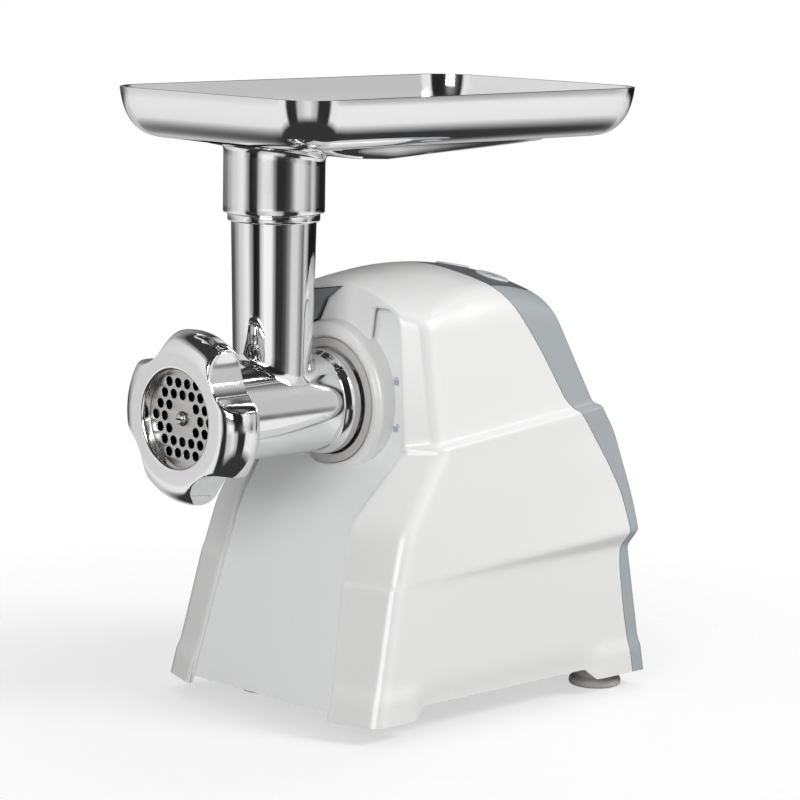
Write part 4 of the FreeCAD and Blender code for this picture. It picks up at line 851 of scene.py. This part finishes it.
def build_tray():
    """Pressed tray as one continuous surface from the sleeve's foot round the rim and back."""
    outline = well_loop(0, 0)
    turns = np.arctan2(outline[:, 1] - TUBE_Y, outline[:, 0])

    def round_loop(radius, height):
        """Circle round the feed tube, with its points where those of the well's outline lie."""
        circle_y = TUBE_Y + radius * np.sin(turns)
        return np.stack((radius * np.cos(turns), circle_y, 0 * turns + height), axis=-1)

    def floor_loop(radius, lift):
        """Circle round the feed tube at a height over the sunken floor."""
        loop = round_loop(radius, 0)
        loop[:, 2] = well_floor(loop[:, 1]) + lift
        return loop

    foot = ((25.4, 297), (25.6, 296.2), (26.2, 296), (28.4, 296), (29, 296.3), (29.2, 297))
    loops = [round_loop(*row) for row in foot]
    loops += between(loops[-1], floor_loop(29.2, -4), 10)
    loops += [floor_loop(*row) for row in ((29.2, -4), (29.5, -2), (30.6, -0.6), (33, 0))]
    loops += between(loops[-1], well_loop(4, 0), 14)
    well_edge = ((4, 0), (2, 0.05), (0.6, 0.3), (-0.4, 0.65), (-1.4, 0.93), (-3, 1))
    loops += [well_loop(*row) for row in well_edge]
    loops += between(loops[-1], pan_loop(BASE_INSET, TRAY_BASE), 6)
    loops += pan_wall(0)
    rim = ((0.2, TRAY_RIM), (0.75, TRAY_RIM + 0.25), (SHEET - 0.2, TRAY_RIM))
    loops += [pan_loop(*row) for row in rim]
    loops += pan_wall(SHEET)[::-1]
    inner_edge = ((-1.6, 1), (0.4, 0.92), (1.6, 0.6), (2.6, 0.25), (4.5, 0))
    inner = [well_loop(*row) + (0, 0, SHEET) for row in inner_edge]
    loops += between(loops[-1], inner[0], 6) + inner
    loops += between(loops[-1], floor_loop(28, SHEET), 14)
    loops += [floor_loop(*row) for row in ((28, SHEET), (26, SHEET - 0.5), (25.4, SHEET - 2))]
    loops += between(loops[-1], loops[0], 8)
    return shade(grid_object("hopper_tray_shell", np.array(loops), wrap_rows=True), 40)


# Small parts


def build_lever():
    """Glossy face of the press lever over the socket."""
    return bevelled(prism("release_lever_face", lever_outline(0), "xz", -29.4, -23), 0.7, 3, 50)


def catch_arm():
    """Arm of the release lever that reaches the head's lug behind the panel."""
    stem = prism("stem", rectangle(3.5, 50.4, 59), "xz", -25, -14)
    reach = prism("reach", rectangle(3.5, 29.9, 59), "xz", -15, -12)
    return shade(about_head(join("arm", [stem, reach]), 116))


def button_frame(index):
    """Place and tilt of a push button on the crowned roof."""
    x = BUTTON_PITCH * index
    crown = float(np.interp(PANEL_Y, ROOF_PLACES, ROOF_CROWN))
    radius = float(np.interp(PANEL_Y, ROOF_PLACES, ROOF_RADIUS))
    height = crown - radius + math.sqrt(radius**2 - x**2)
    tilt = Matrix.Rotation(math.radians(PANEL_TILT), 4, "X") @ Matrix.Rotation(math.asin(x / radius), 4, "Y")
    return Matrix.Translation(Vector((x, PANEL_Y, height)) * MM) @ tilt


def build_button(index, name):
    """Domed cap of a push button."""
    profile = ((0, 0.7, 0), (6.5, 0.65, 2), (9.4, 0.9, 1), (10.4, 0.3, 0.6), (10.45, -5, 0), (0, -5, 0))
    cap = lathe(name + "_cap", profile, ((0, 0, 0), "z"), segments=96, closed=False)
    cap.data.transform(button_frame(index))
    return cap


def drawn(name, points, width=None, closed=False):
    """A raised line of a width through points, or the filled outline where there is no width."""
    curve = bpy.data.curves.new(name, "CURVE")
    curve.dimensions = "2D"
    curve.fill_mode = "NONE" if width else "BOTH"
    add_spline(curve, points, closed or not width)
    if width:
        curve.bevel_depth = width / 2 * MM
        curve.bevel_resolution = 1
    else:
        curve.extrude = 0.08 * MM
    mark = solid_curve(name, curve)
    if width:
        mark.data.transform(Matrix.Diagonal((1, 1, 0.25, 1)))
    return mark


def build_marks():
    """Generic marks on the three buttons: a triangle, a ring and a turned-back arrow."""
    line, rise = 0.8, 0.72
    hook = drawn("hook", ring_points(2.8, -60, 200, 28), line)
    point = drawn("point", ((-4.6, -0.6), (-2.6, -2.6), (-1, -0.2)))
    marks = {
        1: drawn("on_mark", ((-2.6, -3), (3.4, 0), (-2.6, 3)), line, closed=True),
        0: drawn("off_mark", ring_points(3, 0, 350, 36), line, closed=True),
        -1: join("reverse_mark", [hook, point]),
    }
    for index, mark in marks.items():
        mark.data.transform(button_frame(index) @ Matrix.Translation((0, 0, rise * MM)))
    return marks


def build_padlocks():
    """Closed and open padlock marks printed beside the socket."""
    depths, heights, _ = zip(*PANEL_FACE)
    things = []
    for x, z, swing in ((48, 198, 0), (49, 171, 1.6)):
        hoop = [(px + swing, py + 1.6) for px, py in ring_points(1.35, 0, 180, 14)]
        hoop.insert(0, (hoop[0][0], 1.2))
        if not swing:
            hoop.append((hoop[-1][0], 1.2))
        y = float(np.interp(z, heights, depths)) - 0.05
        place = Matrix.Translation(Vector((x, y, z)) * MM) @ Matrix.Rotation(math.radians(90), 4, "X")
        for part in (drawn("body", rectangle(2, -1.6, 1.6)), drawn("shackle", hoop, 0.6)):
            part.data.transform(place)
            things.append(part)
    return join("padlock_marks", things)


def build_foot(name, x, y):
    """Rubber foot: a neck and a wide rounded pad."""
    profile = ((0, 0.3, 0), (13.4, 0, 1.2), (15.6, 0.8, 1), (16, 2.6, 1), (15.6, 4.6, 0.9), (14, 5.8, 1),
               (12.5, 6.6, 0.6), (12.5, 16, 0), (0, 16, 0))
    return lathe(name, profile, ((x, y, 0), "z"), segments=96, closed=False)


# Materials


def shader_node(tree, kind, *values, operation=None, **named):
    """A shader node. Its inputs, by order or by name, are numbers, colours or other nodes' outputs."""
    node = tree.nodes.new("ShaderNode" + kind)
    if operation:
        node.operation = operation
    sockets = list(zip(node.inputs, values))
    sockets += [(node.inputs[name.replace("_", " ")], value) for name, value in named.items()]
    for socket, value in sockets:
        if isinstance(value, bpy.types.NodeSocket):
            tree.links.new(value, socket)
        else:
            socket.default_value = value
    return node


def new_material(name, colour, roughness, metallic=0.0, coat=None):
    """A Principled material, its node tree and the object's own coordinates in it."""
    material = bpy.data.materials.new(name)
    material.use_nodes = True
    tree = material.node_tree
    inputs = tree.nodes["Principled BSDF"].inputs
    inputs["Base Color"].default_value = (*colour, 1)
    inputs["Roughness"].default_value = roughness
    inputs["Metallic"].default_value = metallic
    if coat:
        inputs["Coat Weight"].default_value, inputs["Coat Roughness"].default_value = coat
    return material, tree, shader_node(tree, "TexCoord").outputs["Object"]


def feed(tree, socket, source):
    """Link an output to a socket of the material's shader."""
    tree.links.new(source, tree.nodes["Principled BSDF"].inputs[socket])


def colour_ramp(tree, source, stops, interpolation="LINEAR"):
    """Colour by a value, from rows of position and colour."""
    node = shader_node(tree, "ValToRGB", source)
    node.color_ramp.interpolation = interpolation
    elements = node.color_ramp.elements
    for element, (position, colour) in zip(elements, (stops[0], stops[-1])):
        element.position, element.color = position, (*colour, 1)
    for position, colour in stops[1:-1]:
        elements.new(position).color = (*colour, 1)
    return node.outputs["Color"]


def noise(tree, place, scale, detail, stretch=(1, 1, 1)):
    """Noise over the object's own coordinates, drawn out along an axis by a stretch."""
    moved = shader_node(tree, "Mapping", Vector=place, Scale=stretch).outputs["Vector"]
    return shader_node(tree, "TexNoise", Vector=moved, Scale=scale, Detail=detail).outputs["Fac"]


def spread(tree, source, low, high):
    """The source moved from its usual middle range to low and high."""
    node = shader_node(tree, "MapRange", Value=source, From_Min=0.3, From_Max=0.7, To_Min=low, To_Max=high)
    return node.outputs["Result"]


def tint(tree, source, dark, light):
    """Vary the colour between two shades over the source's usual middle range."""
    feed(tree, "Base Color", colour_ramp(tree, source, ((0.3, dark), (0.7, light))))


def bump(tree, source, strength, distance):
    """Fine relief from a source, for the shader's normal."""
    node = shader_node(tree, "Bump", Height=source, Strength=strength, Distance=distance)
    feed(tree, "Normal", node.outputs["Normal"])


def plastic(name, colour, roughness, grain, coat=None):
    """Moulded plastic: faint flow marks in colour and gloss, and a fine skin."""
    material, tree, place = new_material(name, colour, roughness, coat=coat)
    dark, light = (tuple(c * share for c in colour) for share in (0.994, 1.006))
    tint(tree, noise(tree, place, 9, 2), dark, light)
    gloss = noise(tree, place, 60, 4)
    feed(tree, "Roughness", spread(tree, gloss, roughness * 0.95, roughness * 1.05))
    bump(tree, noise(tree, place, 900, 2), grain, 0.0002)
    return material


def metal(name, colour, low, high, stretch, depth, scale):
    """Polished or brushed metal: gloss that varies along the polishing direction."""
    material, tree, place = new_material(name, colour, low, 1.0)
    streaks = noise(tree, place, scale, 5, stretch)
    feed(tree, "Roughness", spread(tree, streaks, low, high))
    tint(tree, streaks, tuple(c * 0.985 for c in colour), colour)
    bump(tree, noise(tree, place, scale * 12, 3, stretch), depth, 0.0001)
    return material


def pierced_steel():
    """Ground steel of the perforated plate, with painted shade that turns it near black down in its holes.
    """
    # Colour of the ground face, and the near-black painted shade for the walls of the holes.
    face, hole_shade = (0.55, 0.54, 0.52), (0.02, 0.02, 0.02)
    stretch = (1, 1, 6)
    front = span("grinding_plate", Y)[0]
    material, tree, place = new_material("plate_steel", face, 0.3, 1.0)
    feed(tree, "Roughness", spread(tree, noise(tree, place, 120, 5, stretch), 0.26, 0.36))
    bump(tree, noise(tree, place, 1440, 3, stretch), 0.06, 0.0001)
    y = shader_node(tree, "SeparateXYZ", place).outputs["Y"]
    depth = shader_node(tree, "MapRange", Value=y, From_Min=(front + 0.2) * MM, From_Max=(front + 1.2) * MM,
                        To_Min=0.3, To_Max=0.7)
    # Painted shade: from about a millimetre behind the front face the steel is painted near black, so the
    # holes look dark inside.
    tint(tree, depth.outputs["Result"], face, hole_shade)
    return material


def make_materials():
    """Every finish of the object; most go by the names of the record's slots."""
    materials = {name: plastic(name, *row) for name, row in PLASTICS.items()}
    materials.update({name: metal(name, *row) for name, row in METALS.items()})
    materials["plate_steel"] = pierced_steel()
    return materials


# Studio


def build_floor():
    """Round pale floor that fades out at its edge, darker to the object's light, unseen in mirrors."""
    sides = 128
    rings = [at_height(circle(radius, points=sides), 0) for radius in (50, 300, 620)]
    faces = grid_faces(len(rings), sides) + [tuple(range(sides))]
    floor = new_object("studio_floor", np.concatenate(rings), faces)
    floor.location.z = -0.0002
    material, tree, place = new_material("studio_floor", (0.92, 0.92, 0.92), 0.6)
    rays = shader_node(tree, "LightPath").outputs
    tint(tree, rays["Is Camera Ray"], (0.22, 0.22, 0.22), (0.93, 0.93, 0.93))
    distance = shader_node(tree, "VectorMath", place, operation="LENGTH").outputs["Value"]
    faint = shader_node(tree, "Math", rays["Is Camera Ray"], 0.6, operation="MULTIPLY").outputs["Value"]
    fade = shader_node(tree, "MapRange", Value=distance, From_Min=0.20, From_Max=0.50, To_Min=faint)
    unseen = shader_node(tree, "Math", fade.outputs["Result"], rays["Is Glossy Ray"], operation="MAXIMUM")
    clear = shader_node(tree, "BsdfTransparent").outputs["BSDF"]
    solid = tree.nodes["Principled BSDF"].outputs["BSDF"]
    choice = shader_node(tree, "MixShader", unseen.outputs["Value"], solid, clear)
    tree.links.new(choice.outputs["Shader"], tree.nodes["Material Output"].inputs["Surface"])
    floor.data.materials.append(material)


def build_lights():
    """Soft lights that face the object; the strongest one shines on its right side."""
    target = Vector((0, 0, 0.18))
    for name, (place, size, power) in LIGHTS.items():
        lamp = bpy.data.lights.new(name, "AREA")
        lamp.size = size
        lamp.energy = power
        thing = add_object(name, lamp)
        thing.location = place
        thing.rotation_euler = (target - Vector(place)).to_track_quat("-Z", "Y").to_euler()


def grey(level):
    """A neutral colour."""
    return (level, level, level, 1)


def mixed(tree, share, first, second):
    """The first colour, or by a share the second."""
    return shader_node(tree, "MixRGB", share, first, second).outputs["Color"]


def azimuth_ramp(tree, turn, table):
    """Brightness by azimuth, from a table of azimuths in degrees."""
    stops = [((azimuth + 180) / 360, (level, level, level)) for azimuth, level in table]
    return colour_ramp(tree, turn, stops, "EASE")


def build_world():
    """White surroundings in which the polished parts see a studio's bright walls and dark flags."""
    world = bpy.data.worlds.new("studio")
    bpy.context.scene.world = world
    world.use_nodes = True
    tree = world.node_tree
    direction = shader_node(tree, "TexCoord").outputs["Generated"]
    split = shader_node(tree, "SeparateXYZ", direction).outputs
    heading = shader_node(tree, "Math", split["Y"], split["X"], operation="ARCTAN2").outputs["Value"]
    turn = shader_node(tree, "MapRange", Value=heading, From_Min=-math.pi, From_Max=math.pi)
    share = turn.outputs["Result"]
    seen, above, below = (azimuth_ramp(tree, share, table) for table in (AROUND, ABOVE, BELOW))
    dark = grey(0.04)
    layers = ((-0.12, -0.02, above), (0.55, 0.75, dark), (-0.18, -0.26, below), (-0.52, -0.68, dark))
    for start, end, colour in layers:
        reach = shader_node(tree, "MapRange", Value=split["Z"], From_Min=start, From_Max=end)
        seen = mixed(tree, reach.outputs["Result"], seen, colour)
    rays = shader_node(tree, "LightPath").outputs
    plain = mixed(tree, rays["Is Camera Ray"], grey(0.38), grey(1))
    background = mixed(tree, rays["Is Glossy Ray"], plain, seen)
    tree.links.new(background, tree.nodes["Background"].inputs["Color"])
    bpy.context.scene.view_settings.view_transform = "Standard"


def build_camera():
    """Camera at the reference angle, a long lens looking slightly down from the front right."""
    camera = bpy.data.cameras.new("camera")
    camera.lens = 144.5
    camera.sensor_width = 36
    camera.clip_end = 50
    thing = add_object("camera", camera)
    right, up = Vector((0.6933, 0.7205, 0.0155)), Vector((-0.1210, 0.0952, 0.9881))
    turn = Matrix((right, up, right.cross(up))).transposed()
    thing.matrix_world = Matrix.Translation((1.3660, -1.2948, 0.4718)) @ turn.to_4x4()
    bpy.context.scene.camera = thing


# Object


def cut_button_wells(panel):
    """Round openings in the control panel for its buttons."""
    well = ((0, -20, 0), (10.9, -20, 0), (10.9, 20, 0), (0, 20, 0))
    for index, _ in BUTTONS:
        space = lathe("button_space", well, ((0, 0, 0), "z"), segments=96, closed=False)
        space.data.transform(button_frame(index))
        boolean(panel, space)
    return shade(panel, 30)


def main():
    """The studio, then every piece on its body with its finish."""
    build_camera()
    build_world()
    build_floor()
    build_lights()
    materials = make_materials()
    for row in frame["record"]["subparts"]:
        for slot in frame["nodes"][row["node"]].material_slots:
            slot.material = materials[row["material_slot"]]

    def fit(thing, body, slot, *replaced, finish=None):
        """Ride a piece on its body, give it a finish and let it stand for CAD nodes."""
        thing.data.materials.clear()
        thing.data.materials.append(materials[finish or slot])
        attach(thing, body)
        if replaced:
            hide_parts(*replaced)

    white, cover, dark = build_housing()
    fit(white, "base", "white_plastic", "main_housing")
    fit(cover, "base", "grey_plastic", "rear_cover")
    fit(cut_button_wells(dark), "base", "dark_plastic", "control_panel")
    fit(build_front_panel(), "base", "panel_white", "front_panel")
    fit(build_socket(), "base", "white_plastic", "head_socket")
    fit(build_liner(), "base", "socket_grey", "socket_liner")
    fit(build_padlocks(), "base", "panel_white", finish="pale_print")

    fit(build_head(), "head", "polished_metal", "head_casting", "feed_tube")
    fit(build_nut(), "ring_nut", "polished_metal", "ring_nut")
    fit(build_plate(), "head", "steel", "grinding_plate", finish="plate_steel")
    fit(build_stud(), "drive_line", "steel")
    fit(build_tray(), "tray", "polished_metal", "hopper_tray", "tray_sleeve", finish="tray_metal")
    fit(build_lever(), "release_lever", "smoked_plastic", "release_lever")
    fit(catch_arm(), "release_lever", "smoked_plastic", finish="dark_plastic")

    marks = build_marks()
    for index, name in BUTTONS:
        fit(build_button(index, name), name, "button_plastic", name)
        fit(marks[index], name, "button_plastic", finish="print")
    for name in FEET:
        fit(build_foot(name + "_pad", middle(name, X), middle(name, Y)), "base", "rubber", name)


main()
